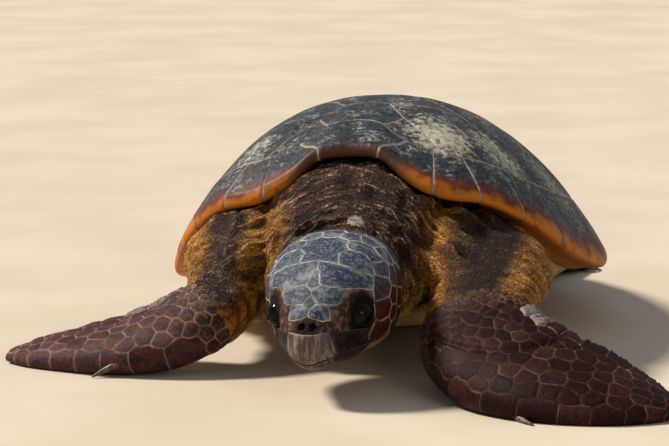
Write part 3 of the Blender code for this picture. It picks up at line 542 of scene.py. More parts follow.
def add_rim_plate(name, sections, lengths, side, nodes, amber):
    """One plate folded round the rim, from its sections in order."""
    grid = np.array(sections)
    rows, columns = grid.shape[:2]
    normals = grid_normals(grid, closed=True)
    middle = grid.mean(axis=1, keepdims=True)
    normals *= np.sign(((grid - middle) * normals).sum(-1, keepdims=True).mean())
    lip, under = len(FACE_PLACES) * SECTION_STEPS, (len(FACE_PLACES) + 1) * SECTION_STEPS
    arc = np.array([run_of(section) for section in grid])
    ends = np.minimum(lengths, lengths[-1] - lengths)[:, None] * np.ones((1, columns))
    inner = np.where(np.arange(columns)[None, :] < under, arc, 1.0)
    edge = np.minimum(ends, inner)
    flat = grid.reshape(-1, 3)
    swell = (waver(flat, 18.0, 0.0012, 2.0) + waver(flat, 60.0, 0.0003, 7.0)).reshape(rows, columns)
    shape = grid + normals * (0.0004 - sunk_edge(edge) + swell * eased(edge, 0.0, 0.008))[..., None]
    points = shape.reshape(-1, 3)
    outward = np.where(np.arange(columns)[None, :] <= lip, arc / arc[:, lip:lip + 1], 1.12)
    own_rays = np.full(len(points), lengths[-1] * 50 + side)
    growth = np.stack([np.repeat(lengths, columns) * 9.0, arc.ravel() * 1.4, own_rays], axis=1)
    marks = {"edge": edge.ravel(), "outward": outward.ravel(), "growth": growth,
             "dust": dust_at(points) * np.clip(1.25 - outward.ravel(), 0, 1) * 0.9 + 0.02,
             "amber": np.repeat(amber, columns)}
    obj = marked_mesh(name, placed(points, shell_place), tube_faces(rows, columns), rim_horn, marks)
    shaped = bmesh.new()
    shaped.from_mesh(obj.data)
    bmesh.ops.recalc_face_normals(shaped, faces=shaped.faces)
    shaped.to_mesh(obj.data)
    shaped.free()
    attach(obj, "root")
    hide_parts(*nodes)


shares = spaced(nuchal_end * 2, 0.004) * 2 - 1           # -1 at its right end, 1 at its left
sections = [round_section(rim_section(-NUCHAL_COUNT * (1 - abs(s)), 1 if s > 0 else -1)) for s in shares]
add_rim_plate("scute_nuchal", sections, (shares + 1) * nuchal_end, 1, ["nuchal"], np.zeros(len(shares)))

for side, word in ((1, "left"), (-1, "right")):
    for number in range(MARGINALS):
        width = (rim_lengths[-1] - nuchal_end) * MARGINAL_WIDTHS[number] / sum(MARGINAL_WIDTHS)
        places = number + spaced(width, 0.0042)
        places[-1] -= 1e-6
        sections = [round_section(rim_section(c, side)) for c in places]
        run = ("front", "side", "rear")[number // 4]
        amber = eased(places, 0.15, 0.85)
        add_rim_plate(f"scute_marginal_{word}_{number + 1}", sections, (places - number) * width, side,
                      [f"marginals_{word}_{run}"], amber)

# ---------------------------------------------------------------- the belly: plastron and bridges
# Below, the shell closes with a flat plate of pale yellow horn, joined to the rim on each side by a
# bridge. Six pairs of scutes meet along its middle. Its rear end lies flat on the ground.
PLASTRON = [(0.0, 0.060), (0.055, 0.064), (0.11, 0.085), (0.15, 0.14), (0.185, 0.20), (0.205, 0.30),
            (0.205, 0.42), (0.185, 0.50), (0.145, 0.555), (0.115, 0.64), (0.075, 0.72), (0.0, 0.745)]
PLASTRON_SEAMS = [0.115, 0.215, 0.345, 0.475, 0.590]
PLASTRON_LEVELS = [(0.30, -0.0200), (0.07, -0.0200), (0.035, -0.0185), (0.012, -0.0120), (0.0, -0.0040),
                   (0.0, 0.0080), (0.01, 0.0150), (0.05, 0.0162), (0.30, 0.0162)]
PLASTRON_MIDDLE = np.array([0.0, 0.40])
BRIDGE_FRONT, BRIDGE_LENGTH = 0.185, 0.30
belly_line = through(PLASTRON, 10)


def belly_finish():
    """Smooth yellow horn, clouded with cream and darker beside its seams."""
    yellow, cream, seam_brown = (0.46, 0.27, 0.085), (0.62, 0.44, 0.20), (0.17, 0.085, 0.035)
    horn = Finish("belly_horn", Coat_Weight=0.15, Coat_Roughness=0.3)
    cloud = horn.cloud(20.0, 5.0, 0.65)
    colour = horn.laid(yellow,
                       (cream, horn.ease(cloud, 0.35, 0.65)),
                       (seam_brown, horn.ease(horn.mark("edge"), 0.0028, 0.0008, 0.0, 0.8)))
    return horn.finish(colour, horn.ease(cloud, 0.3, 0.7, 0.38, 0.52), horn.cloud(150.0, 4.0, 0.6), 0.0003)


belly_horn = belly_finish()


def add_belly_part(name, rings, seam_far, turn, node):
    """One closed solid of belly horn through its rings, level where it meets the ground."""
    rings = np.array(rings)
    rows, count = rings.shape[:2]
    points = placed(rings.reshape(-1, 3), shell_place)
    points[:, 2] = np.maximum(points[:, 2], 0.0)
    part = marked_mesh(name, points, tube_faces(rows, count, turn), belly_horn, {"edge": seam_far}, 40)
    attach(part, "root")
    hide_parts(node)


half = belly_line[:, :2]
outline = np.concatenate([half, mirrored(half)[1:-1]])
rings = []
for inset, z in PLASTRON_LEVELS:
    flat = PLASTRON_MIDDLE + (outline - PLASTRON_MIDDLE) * (1 - inset)
    rings.append(np.concatenate([flat, np.full((len(flat), 1), z)], axis=1))
x, y = np.concatenate(rings)[:, :2].T
seam_far = np.minimum(np.abs(x), np.abs(y[:, None] - PLASTRON_SEAMS).min(axis=1))
add_belly_part("belly_plate", rings, seam_far, 1, "plastron")

for side, word in ((1, "left"), (-1, "right")):
    rings, far = [], []
    for t in np.linspace(0, 1, 61):
        y = BRIDGE_FRONT + BRIDGE_LENGTH * t
        arch = math.sin(math.pi * t)
        rim = np.array([np.interp(y, rim_line[by_flank, 1], rim_line[by_flank, k]) for k in range(3)])
        inner_x = np.interp(y, belly_line[:, 1], belly_line[:, 0]) - 0.004
        outer_x, rise = rim[0] - 0.060, rim[2] - RIM_THICK * 0.2
        bend_x = inner_x + 0.3 * (outer_x - inner_x)
        lower = [(inner_x, -0.006 + 0.004 * (1 - arch)), (bend_x, -0.004 + 0.10 * rise), (outer_x, rise - 0.012)]
        upper = [(outer_x, rise + 0.004), (bend_x, 0.020 + 0.15 * rise), (inner_x, 0.016)]
        loop = np.concatenate([through(lower, 8), through(upper, 8)])
        rings.append(np.stack([loop[:, 0] * side, np.full(len(loop), y), loop[:, 1]], axis=1))
        far.append(np.full(len(loop), np.abs((t * 3) % 1.0 - 0.5) * 0.09 if 0.04 < t < 0.96 else 1.0))
    add_belly_part(f"belly_bridge_{word}", rings, np.concatenate(far), side, f"bridge_{word}")

# ---------------------------------------------------------------- the flesh: one skin
# Head, neck, trunk, limbs and tail are one body of flesh under one leathery skin. Each is drawn as rounded
# sections as tall and wide as the living animal's. They are merged, and the skin is drawn tight over them,
# with the folds of the neck, the lids, the nostrils and the mouth.
COAT_DEPTH = 0.0009                      # the skin lies this far below the flesh's full size, under its scales
SKIN_CELL = 0.0042
LIMB_STEPS, ROUND_HEAD, ROUND_ARM, ROUND_LEG, ROUND_TAIL = 9, 88, 56, 48, 40
FLESH = ["trunk", "neck", "head", "tail"] + [f"{part}_{word}" for part in ("arm", "flipper", "thigh", "hind_flipper")
                                             for word in ("left", "right")]
FAR = 9.0                                # metres, beyond everything here
HEAD_AT = Vector((0.005, -0.200, 0.152))
HEAD_YAW, HEAD_PITCH, HEAD_ROLL = math.radians(-3.5), math.radians(12), math.radians(-2)
# head from occiput to beak tip, and neck: y, half-width, top, bottom, squareness above and below
HEAD = [(0.108, 0.080, 0.050, -0.066, 1.00, 0.90), (0.095, 0.088, 0.060, -0.078, 0.95, 0.76),
        (0.065, 0.096, 0.069, -0.089, 0.90, 0.64), (0.025, 0.0985, 0.0725, -0.094, 0.86, 0.58),
        (-0.015, 0.094, 0.070, -0.094, 0.84, 0.62), (-0.050, 0.081, 0.061, -0.091, 0.84, 0.74),
        (-0.080, 0.063, 0.047, -0.086, 0.86, 0.86), (-0.105, 0.049, 0.032, -0.081, 0.90, 0.94),
        (-0.124, 0.038, 0.015, -0.075, 0.95, 0.96), (-0.137, 0.029, -0.003, -0.069, 1.00, 0.98),
        (-0.146, 0.018, -0.020, -0.062, 1.00, 1.00), (-0.151, 0.007, -0.036, -0.055, 1.00, 1.00)]
NECK = [(0.120, 0.138, 0.300, 0.070, 0.75, 0.9), (0.060, 0.138, 0.312, 0.066, 0.75, 0.9),
        (0.020, 0.136, 0.304, 0.062, 0.80, 0.9), (-0.020, 0.131, 0.272, 0.058, 0.88, 0.9),
        (-0.055, 0.124, 0.244, 0.056, 0.92, 0.9), (-0.085, 0.112, 0.222, 0.058, 0.95, 0.9)]
# limbs: x outwards, y, z, half-chord, half-thickness, tilt, how much thicker the leading edge is
ARM_LEFT = [(0.175, 0.130, 0.150, 0.080, 0.062, 0, 0.0), (0.217, 0.040, 0.145, 0.096, 0.070, 5, 0.0),
            (0.226, -0.060, 0.124, 0.088, 0.062, 12, 0.05), (0.222, -0.165, 0.088, 0.090, 0.051, 24, 0.15),
            (0.262, -0.238, 0.067, 0.096, 0.040, 30, 0.28), (0.335, -0.282, 0.053, 0.098, 0.030, 29, 0.40),
            (0.425, -0.296, 0.038, 0.086, 0.021, 25, 0.45), (0.494, -0.297, 0.024, 0.056, 0.013, 21, 0.45),
            (0.538, -0.294, 0.013, 0.020, 0.007, 18, 0.30)]
ARM_RIGHT = [(0.175, 0.130, 0.150, 0.080, 0.062, 0, 0.0), (0.194, 0.064, 0.145, 0.084, 0.068, 5, 0.0),
             (0.190, -0.004, 0.124, 0.070, 0.060, 15, 0.05), (0.205, -0.068, 0.090, 0.062, 0.047, 28, 0.15),
             (0.262, -0.097, 0.062, 0.076, 0.038, 28, 0.28), (0.335, -0.100, 0.043, 0.076, 0.028, 22, 0.40),
             (0.418, -0.092, 0.030, 0.062, 0.020, 20, 0.45), (0.485, -0.085, 0.019, 0.043, 0.013, 18, 0.45),
             (0.530, -0.080, 0.010, 0.016, 0.007, 16, 0.30)]
LEG = [(0.120, 0.650, 0.080, 0.055, 0.038, 0, 0.0), (0.160, 0.735, 0.062, 0.058, 0.036, 4, 0.05),
       (0.190, 0.805, 0.044, 0.060, 0.028, 8, 0.15), (0.212, 0.870, 0.026, 0.068, 0.018, 8, 0.25),
       (0.232, 0.930, 0.015, 0.070, 0.012, 6, 0.30), (0.246, 0.972, 0.009, 0.046, 0.009, 4, 0.30),
       (0.252, 0.992, 0.007, 0.018, 0.006, 2, 0.20)]
TAIL = [(0.0, 0.700, 0.070, 0.040, 0.032), (0.0, 0.790, 0.062, 0.036, 0.029),
        (0.0, 0.860, 0.048, 0.026, 0.022), (0.0, 0.915, 0.034, 0.015, 0.013), (0.0, 0.945, 0.026, 0.005, 0.004)]
# the mass of the shoulder, between neck and arm under the rim: middles and half-sizes
SHOULDER_LOW = {1: (0.168, 0.040, 0.125, 0.058, 0.050, 0.070), -1: (0.152, 0.018, 0.125, 0.058, 0.050, 0.070)}
SHOULDER_MASS = [(0.190, 0.062, 0.180, 0.060, 0.055, 0.060), (0.215, 0.120, 0.150, 0.060, 0.070, 0.075),
                 (0.156, 0.034, 0.192, 0.050, 0.050, 0.054), (0.163, 0.006, 0.166, 0.056, 0.076, 0.050),
                 (0.222, 0.174, 0.102, 0.054, 0.060, 0.038)]
EYE_WAY = np.array([0.86, -0.50, 0.12])
EYE_AT = np.array([0.0585, -0.0625, -0.0120])
EYE_RADIUS = 0.0215
MOUTH_Z, MOUTH_RISE, BEAK_HOOK, MOUTH_DEPTH = -0.053, -0.06, 0.0045, 0.0045

head_turn = (Matrix.Translation(HEAD_AT) @ Matrix.Rotation(HEAD_YAW, 4, "Z")
             @ Matrix.Rotation(HEAD_PITCH, 4, "X") @ Matrix.Rotation(HEAD_ROLL, 4, "Y"))
head_place = resting @ head_turn


def eye_way(side):
    """The direction an eye looks in, in the head's frame."""
    return EYE_WAY * (side, 1, 1) / np.linalg.norm(EYE_WAY)


def round_about(count):
    """Directions evenly spaced round a circle."""
    return np.linspace(0, 2 * math.pi, count, endpoint=False)


def section(station):
    """A rounded section across head or neck."""
    y, half, top, bottom, above, below = station
    c, s = np.cos(round_about(ROUND_HEAD)), np.sin(round_about(ROUND_HEAD))
    square = np.where(s > 0, above, below)
    x = half * np.sign(c) * np.abs(c) ** square
    z = (top + bottom) / 2 + (top - bottom) / 2 * np.sign(s) * np.abs(s) ** square
    return np.stack([x, np.full(ROUND_HEAD, y), z], axis=1)


def limb_sections(stations, side, around):
    """Rings of a limb, each from its trailing edge over the top to its leading edge and back below."""
    rows = through([(s[0] * side, *s[1:]) for s in stations], LIMB_STEPS)
    a = round_about(around)
    rings = []
    for i, row in enumerate(rows):
        ahead = rows[min(i + 1, len(rows) - 1), :3] - rows[max(i - 1, 0), :3]
        ahead /= np.linalg.norm(ahead)
        back = np.array([-ahead[1], ahead[0], 0.0]) * side
        back /= np.linalg.norm(back)
        tilt = math.radians(row[5])
        chord = back * math.cos(tilt) + np.array([0, 0, math.sin(tilt)])
        up = np.cross(ahead, chord) * side
        up /= np.linalg.norm(up)
        thick = row[4] * (1 - row[6] * np.cos(a))
        ring = row[:3] + chord * (np.cos(a) * row[3])[:, None] + up * (np.sin(a) * thick)[:, None]
        ring[:, 2] = np.maximum(ring[:, 2], 0.0)
        rings.append(ring)
    return np.array(rings)


merged = bmesh.new()


def merge_tube(rings, place):
    """Adds a closed tube of flesh through its sections."""
    rows = [[merged.verts.new(p) for p in placed(ring, place)] for ring in rings]
    count = len(rows[0])
    for a, b in zip(rows, rows[1:]):
        for k in range(count):
            merged.faces.new((a[k], a[(k + 1) % count], b[(k + 1) % count], b[k]))
    merged.faces.new(rows[0][::-1])
    merged.faces.new(rows[-1])


merge_tube([section(s) for s in through(HEAD, 9)], head_place)
neck_rings = [section(s) for s in through(NECK, 6)]
occiput = placed(section(HEAD[0]), head_turn)
inside_head = placed(section((0.080, 0.080, 0.054, -0.072, 1.0, 0.9)), head_turn)
neck_rings += [neck_rings[-1] * 0.35 + occiput * 0.65 + (0, 0.004, 0), occiput, inside_head]
merge_tube(neck_rings, resting)
for side, arm in ((1, ARM_LEFT), (-1, ARM_RIGHT)):
    merge_tube(limb_sections(arm, side, ROUND_ARM), resting)
    merge_tube(limb_sections(LEG, side, ROUND_LEG), resting)
    for x, y, z, rx, ry, rz in [SHOULDER_LOW[side]] + SHOULDER_MASS:
        ball = bmesh.ops.create_icosphere(merged, subdivisions=4, radius=1.0)
        bmesh.ops.transform(merged, verts=ball["verts"], matrix=resting @ Matrix.Translation((x * side, y, z))
                            @ Matrix.Diagonal((rx, ry, rz, 1.0)))
tail_rings = []
for x, y, z, half, tall in through(TAIL, 9):
    a = round_about(ROUND_TAIL)
    tail_rings.append(np.stack([x + half * np.cos(a), np.full(ROUND_TAIL, y), z + tall * np.sin(a)], axis=1))
merge_tube(tail_rings, resting)
merged.from_mesh(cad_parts["trunk"].data)
bmesh.ops.recalc_face_normals(merged, faces=merged.faces)
flesh_mesh = bpy.data.meshes.new("flesh")
merged.to_mesh(flesh_mesh)
merged.free()
flesh = bpy.data.objects.new("flesh", flesh_mesh)
bpy.context.scene.collection.objects.link(flesh)
drawn = flesh.modifiers.new("drawn_tight", "REMESH")
drawn.mode, drawn.voxel_size = "VOXEL", SKIN_CELL


def applied(obj):
    """The mesh of an object with its modifiers worked in."""
    bpy.context.view_layer.update()
    graph = bpy.context.evaluated_depsgraph_get()
    return bpy.data.meshes.new_from_object(obj.evaluated_get(graph), depsgraph=graph)


def mesh_points(mesh):
    """A mesh's points, a row each."""
    made = np.empty(len(mesh.vertices) * 3)
    mesh.vertices.foreach_get("co", made)
    return made.reshape(-1, 3)


def mesh_edges(mesh):
    """The numbers of the two points of each of a mesh's edges."""
    made = np.empty(len(mesh.edges) * 2, int)
    mesh.edges.foreach_get("vertices", made)
    return made.reshape(-1, 2)


def relaxed(points, edges, rounds, strength=0.5, where=None):
    """Points eased towards their neighbours' middle."""
    count = np.bincount(edges.ravel(), minlength=len(points))[:, None]
    for _ in range(rounds):
        total = np.zeros_like(points)
        for axis in range(3):
            total[:, axis] = (np.bincount(edges[:, 0], points[edges[:, 1], axis], len(points))
                              + np.bincount(edges[:, 1], points[edges[:, 0], axis], len(points)))
        move = (total / np.maximum(count, 1) - points) * strength
        points = points + (move if where is None else move * where[:, None])
    return points


DOME_ROOM, RIM_ROOM, RIM_INWARD = 0.017, 0.020, 0.066


def under_carapace(points):
    """Keeps flesh inside the shell: below the rim's underside, and below the dome's plates."""
    level = placed(points, shell_place.inverted())
    angle, share, rim, reach = shell_place_of(level[:, 0], level[:, 1])
    ceiling = on_shell(angle, share)[:, 2] - DOME_ROOM
    ceiling = np.where((1 - share) * reach < RIM_INWARD, rim[:, 2] - RIM_ROOM, ceiling)
    level[:, 2] = np.minimum(level[:, 2], np.where(share > 1.0, FAR, ceiling))
    return placed(level, shell_place), share, level


def from_place(points, place, size):
    """Distance from a place on either side of the body, squared, in its own half-sizes."""
    return (((np.abs(points[:, 0]) - place[0]) / size[0]) ** 2 + ((points[:, 1] - place[1]) / size[1]) ** 2
            + ((points[:, 2] - place[2]) / size[2]) ** 2)


skin_mesh = applied(flesh)
bpy.data.objects.remove(flesh)
points = relaxed(mesh_points(skin_mesh), mesh_edges(skin_mesh), 4)
# loose skin bridges the fold between neck and shoulder, and the pit behind the arm
lying = placed(points, resting.inverted())
from_fold = from_place(lying, (0.168, 0.020, 0.165), (0.075, 0.090, 0.080))
from_pit = from_place(lying, (0.235, 0.165, 0.085), (0.070, 0.065, 0.050))
points = relaxed(points, mesh_edges(skin_mesh), 70, 0.5, np.exp(-np.minimum(from_fold, from_pit) ** 2))
points = relaxed(under_carapace(points)[0], mesh_edges(skin_mesh), 3)
points, share, level = under_carapace(points)
skin_mesh.vertices.foreach_set("co", points.ravel())

# what lies well inside the shell is never seen and needs few points
shaping = bpy.data.objects.new("skin_shaping", skin_mesh)
bpy.context.scene.collection.objects.link(shaping)
inner = shaping.vertex_groups.new(name="inside_shell")
_, y, z = level.T
hidden = (((share < 0.86) & (y > 0.20) & (y < 0.60)) | ((share < 0.74) & (z > 0.13) & (y > 0.16))
          | ((share < 0.60) & (y > 0.14) & (y < 0.66)))
inner.add(np.nonzero(hidden)[0].tolist(), 1.0, "REPLACE")
thin = shaping.modifiers.new("fewer_points", "DECIMATE")
thin.ratio = 1 - 0.94 * hidden.mean()
thin.vertex_group = "inside_shell"
thin.use_collapse_triangulate = False
skin_mesh = applied(shaping)
bpy.data.objects.remove(shaping)

to_head = head_place.inverted()


def finer(mesh, wanted):
    """Halves the cells of a mesh where all a face's points are wanted."""
    shaped = bmesh.new()
    shaped.from_mesh(mesh)
    shaped.verts.ensure_lookup_table()
    edges = [e for e in shaped.edges if wanted[e.verts[0].index] and wanted[e.verts[1].index]]
    bmesh.ops.subdivide_edges(shaped, edges=edges, cuts=1, use_grid_fill=True, smooth=0.0)
    made = bpy.data.meshes.new(mesh.name)
    shaped.to_mesh(made)
    shaped.free()
    return made


at_head = placed(mesh_points(skin_mesh), to_head)
wanted = (at_head[:, 1] < 0.17) & (np.abs(at_head[:, 0]) < 0.135) & (at_head[:, 2] > -0.13)
skin_mesh = finer(skin_mesh, wanted)
points = mesh_points(skin_mesh)
at_head = placed(points, to_head)
smooth = ((at_head[:, 1] < 0.15) & (np.abs(at_head[:, 0]) < 0.125)).astype(float)
points = relaxed(points, mesh_edges(skin_mesh), 2, 0.5, smooth)
skin_mesh.vertices.foreach_set("co", points.ravel())
at_head = placed(points, to_head)
at_head[:, 0] = np.abs(at_head[:, 0])
near_eye = np.linalg.norm(at_head - EYE_AT, axis=1) < 0.040
skin_mesh = finer(skin_mesh, near_eye)
skin_mesh.calc_loop_triangles()
tris = np.empty(len(skin_mesh.loop_triangles) * 3, int)
skin_mesh.loop_triangles.foreach_get("vertices", tris)
tris = tris.reshape(-1, 3)
points = mesh_points(skin_mesh)
edges = mesh_edges(skin_mesh)


def point_normals(points, tris):
    """Directions square to a mesh at its points."""
    across = np.cross(points[tris[:, 1]] - points[tris[:, 0]], points[tris[:, 2]] - points[tris[:, 0]])
    made = np.zeros_like(points)
    for corner in range(3):
        for axis in range(3):
            made[:, axis] += np.bincount(tris[:, corner], across[:, axis], len(points))
    return made / np.maximum(np.linalg.norm(made, axis=1, keepdims=True), 1e-12)


# The folds. All are measured in the head's own frame, in which the beak points along -y.
CREASE_DEPTH, ROLL_HEIGHT = 0.0085, 0.0050
FOLD_HEIGHT, RIPPLE_HEIGHT, GROOVE_HEIGHT, THROAT_FOLD, THROAT_STEP = 0.0034, 0.0017, 0.0020, 0.0016, 0.028
at_head = placed(points, to_head)
hx, hy, hz = at_head.T
normals = point_normals(points, tris)
around = np.arctan2(hz + 0.02, hx)                       # direction round the neck, from its left side
length = hy + 0.8 * np.hypot(hx, hz)                     # measured along the neck's surface

# the deep crease behind the skull, and the soft roll of skin that laps up to it
crease_y = 0.101 - 0.010 * np.cos(around - math.pi / 2) ** 2
upper = eased(hz, -0.075, -0.02) * (1 - eased(np.abs(hx), 0.105, 0.125))
out = -CREASE_DEPTH * np.exp(-((hy - crease_y) / 0.0042) ** 2) * upper
out += ROLL_HEIGHT * np.exp(-((hy - crease_y - 0.016) / 0.010) ** 2) * upper

# long folds down the sides of the neck from under the shell, and wrinkles across it behind the skull
neck_zone = eased(hy, crease_y + 0.006, crease_y + 0.035) * (1 - eased(hy, 0.36, 0.44)) * (np.abs(hx) < 0.20)
sideways = eased(np.abs(np.cos(around)), 0.30, 0.75)


def ridges(places, octaves):
    """Sharp-crested folds, levelled so that the middle height on the neck is zero."""
    made = np.array([noise.ridged_multi_fractal(Vector(p), 0.8, 2.1, octaves, 0.9, 2.0) for p in places])
    on_neck = made[neck_zone > 0.5]
    return np.clip((made - np.median(on_neck)) / max(on_neck.std(), 1e-6), -2.0, 1.5)


fold = ridges(np.stack([np.cos(around) * 2.4, np.sin(around) * 2.4, length * 30.0], axis=1), 4)
out += fold * FOLD_HEIGHT * neck_zone * (0.30 + 0.70 * sideways) * eased(points[:, 2], 0.05, 0.10)
ripple = ridges(np.stack([hx * 16.0, length * 70.0, hz * 16.0], axis=1), 3)
out += ripple * RIPPLE_HEIGHT * neck_zone * upper * (1 - 0.6 * sideways)
grooves = np.sin(around * 14 + 2.5 * waver(at_head, 12.0, 1.0, 3.0))
out += grooves * eased(hy, 0.15, 0.22) * neck_zone * (1 - sideways) * GROOVE_HEIGHT
throat_folds = np.sin(hy * (2 * math.pi / THROAT_STEP) + 2.5 * waver(at_head, 14.0, 1.0, 8.0)) * THROAT_FOLD
out += throat_folds * (1 - upper) * eased(hy, 0.03, 0.08) * (1 - eased(hy, 0.25, 0.32))
lumps = waver(points, 26.0, 1.0, 6.0) * 0.0011 + waver(points, 70.0, 1.0, 2.0) * 0.0004
skull = 1 - eased(hy, crease_y - 0.02, crease_y)
out += lumps * (1 - 0.75 * skull)
points = points + normals * out[:, None]

# lids: the skin round each eye is drawn over the ball in two thick rims that leave an almond open
EYE_LONG, EYE_TALL, EYE_SLANT = 0.0208, 0.0170, math.radians(64)
# half-sizes of the patch of painted shade under each brow
BROW_SHADE_LONG, BROW_SHADE_TALL = 0.0225, 0.0290
# the skin's distance from the ball's middle, by its place from the opening's middle (0) and edge (1) outwards
LID_PLACES = [0.0, 0.80, 0.95, 1.06, 1.25, 1.55, 1.9]
LID_REACH = [0.0165, 0.0170, 0.0198, 0.0243, 0.0250, 0.0238, 0.0230]
at_head = placed(points, to_head)
lid_open = np.full(len(points), FAR)
brow_shade_far = np.full(len(points), FAR)
for side in (1, -1):
    ball = EYE_AT * (side, 1, 1)
    away = at_head - ball
    distance = np.linalg.norm(away, axis=1)
    out_axis = eye_way(side)
    up_axis = np.array([0.0, 0.0, 1.0]) - out_axis * out_axis[2]
    up_axis /= np.linalg.norm(up_axis)
    back_axis = np.cross(up_axis, out_axis) * side
    flat_a, flat_b = away @ back_axis, away @ up_axis
    long_way = flat_a * math.cos(EYE_SLANT) + flat_b * math.sin(EYE_SLANT)
    tall_way = -flat_a * math.sin(EYE_SLANT) + flat_b * math.cos(EYE_SLANT)
    f = np.sqrt((long_way / EYE_LONG) ** 2 + (tall_way / EYE_TALL) ** 2)
    near = (distance < 0.055) & (away @ out_axis > -0.006)
    f = np.where(near, f, FAR)
    lid_open = np.minimum(lid_open, f)
    # the patch under the brow that takes its painted shade
    from_brow_shade = np.hypot((flat_a + 0.001) / BROW_SHADE_LONG, (flat_b - 0.003) / BROW_SHADE_TALL)
    brow_shade_far = np.minimum(brow_shade_far, np.where(near, from_brow_shade, FAR))
    reach = np.interp(f, LID_PLACES, LID_REACH)
    pull = np.interp(f, [1.0, 1.35, 2.15], [1.0, 0.90, 0.0])
    target = ball + away / np.maximum(distance, 1e-6)[:, None] * reach[:, None]
    folds = np.sin(f * 2 * math.pi * 2.6) * 0.0006 * np.exp(-((f - 1.7) / 0.45) ** 2)
    drawn_in = at_head + (target - at_head) * pull[:, None] + out_axis * folds[:, None]
    at_head = np.where(near[:, None], drawn_in, at_head)

# nostrils, close together above the beak, and the mouth's line
NOSTRIL_AT, NOSTRIL_SIZE, NOSTRIL_DEPTH, NOSTRIL_LIP = (0.0085, -0.1362, -0.0035), 0.0048, 0.0075, 0.0010


def mouth_line(at):
    """The height of the mouth's line in the head's frame, with the hook at the beak's tip."""
    hook = BEAK_HOOK * np.exp(-(at[:, 0] / 0.014) ** 2) * (at[:, 1] < -0.10)
    return MOUTH_Z + MOUTH_RISE * (at[:, 1] + 0.17) - hook


for side in (1, -1):
    far = np.linalg.norm((at_head - np.array(NOSTRIL_AT) * (side, 1, 1)) / np.array([0.85, 1.0, 1.15]), axis=1)
    at_head[:, 1] += NOSTRIL_DEPTH * np.exp(-(far / NOSTRIL_SIZE) ** 4)
    at_head[:, 1] -= NOSTRIL_LIP * np.exp(-((far - 0.0062) / 0.0016) ** 2)
mouth = mouth_line(at_head)
mouth_zone = 1 - eased(at_head[:, 1], -0.03, 0.0)
points = placed(at_head, head_place)
mouth_groove = MOUTH_DEPTH * mouth_zone * np.exp(-((at_head[:, 2] - mouth) / 0.0022) ** 2)
points -= point_normals(points, tris) * mouth_groove[:, None]
points = relaxed(points, edges, 1, 0.25)
points[:, 2] = np.maximum(points[:, 2], 0.0)
normals = point_normals(points, tris)
at_head = placed(points, to_head)
hx, hy, hz = at_head.T

# colour zones that every point of the skin carries
neck_side = eased(np.abs(hx), 0.085, 0.125)
throat = 1 - eased(hz, -0.07, 0.01)
level = placed(points, shell_place.inverted())
lx, ly = np.abs(level[:, 0]), level[:, 1]
on_neck = eased(hy, -0.02, 0.06) * (1 - eased(np.abs(hx), 0.165, 0.20)) * (1 - eased(hy, 0.38, 0.5))
amber = np.maximum(neck_side * (1 - eased(hz, 0.02, 0.10)), throat * 0.9) * on_neck
underside = 1 - eased(normals[:, 2], -0.75, -0.25)
# near-black lids round each eye, partly their own dark skin and partly painted shade, and painted shade under the
# brow
socket = np.maximum(1 - eased(lid_open, 1.55, 2.3), 1 - eased(brow_shade_far, 0.85, 1.15))
# painted shade: an oval of near black over both nostrils' openings
nostril_shade = np.exp(-((hx / 0.0185) ** 2 + ((hz + 0.0040) / 0.0135) ** 2) ** 3) * (hy < -0.10)
mouth_dark = mouth_zone * np.exp(-((hz - mouth) / 0.004) ** 2)
neck_flow = np.stack([around * 0.12, hy + 0.8 * np.hypot(hx, hz), hz * 0.2], axis=1)
limb_flow = np.zeros((len(points), 3))           # along the limb, round it, and up
limb_near = np.full(len(points), FAR)
arm_amber = np.zeros(len(points))


def beside_limb(points, rear_edge, centres):
    """For points near a limb, the nearest of its sections and how far the section's centre is. Then, for
    that section: the direction to its rear edge, half its width, the direction of the limb, and where the
    points lie from its centre."""
    away = np.linalg.norm(points[:, None, :] - centres[None], axis=2)
    nearest, far = away.argmin(axis=1), away.min(axis=1)
    chord = rear_edge[nearest] - centres[nearest]
    half = np.linalg.norm(chord, axis=1)
    ahead = np.gradient(centres, axis=0)[nearest]
    ahead /= np.linalg.norm(ahead, axis=1, keepdims=True)
    return nearest, far, chord / half[:, None], half, ahead, points - centres[nearest]


for side in (1, -1):
    for stations in (ARM_LEFT if side > 0 else ARM_RIGHT, LEG):
        rings = limb_sections(stations, side, 4)
        centres = placed(rings.mean(axis=1), resting)
        run = run_of(centres)
        nearest, far, chord, half, ahead, off = beside_limb(points, placed(rings[:, 0], resting), centres)
        back = (off * chord).sum(1)
        lift = off - chord * back[:, None]
        turn = np.arctan2(lift[:, 2], back)
        along = run[nearest] + (off * ahead).sum(1)
        station = np.interp(along, run, np.arange(len(run)) / LIMB_STEPS)
        closer = (far < limb_near) & (level[:, 0] * side > 0)
        limb_near = np.where(closer, far, limb_near)
        limb_flow[closer] = np.stack([along + 0.25 * back, turn * 0.06, lift[:, 2]], axis=1)[closer]
        reach = back / half
        if stations is not LEG:
            outer = eased(reach, 0.42, 0.85) * (1 - eased(station, 2.7, 3.3))
            inner = eased(-reach, 0.60, 0.95) * (1 - eased(station, 2.5, 3.0)) * (1 - eased(hz, 0.0, 0.08))
            # the left arm keeps less of its ochre, as part of the painted shade on that side
            inner *= 0.15 if side > 0 else 0.9
            arm_amber = np.where(closer, np.maximum(outer, inner), arm_amber)
limb_weight = eased(lx, 0.145, 0.175)
amber = np.maximum(amber * (1 - 0.85 * limb_weight), arm_amber * limb_weight)
amber = np.clip(amber, 0, 1) * (1 - eased(ly, 0.25, 0.40))
cheek = (1 - eased(hz, -0.070, -0.048)) * eased(hy, -0.080, -0.050) * (1 - eased(hy, 0.06, 0.10))
creased = np.exp(-((hy - crease_y - 0.001) / 0.006) ** 2) * upper
hollow = ((relaxed(points, edges, 24) - points) * normals).sum(1)
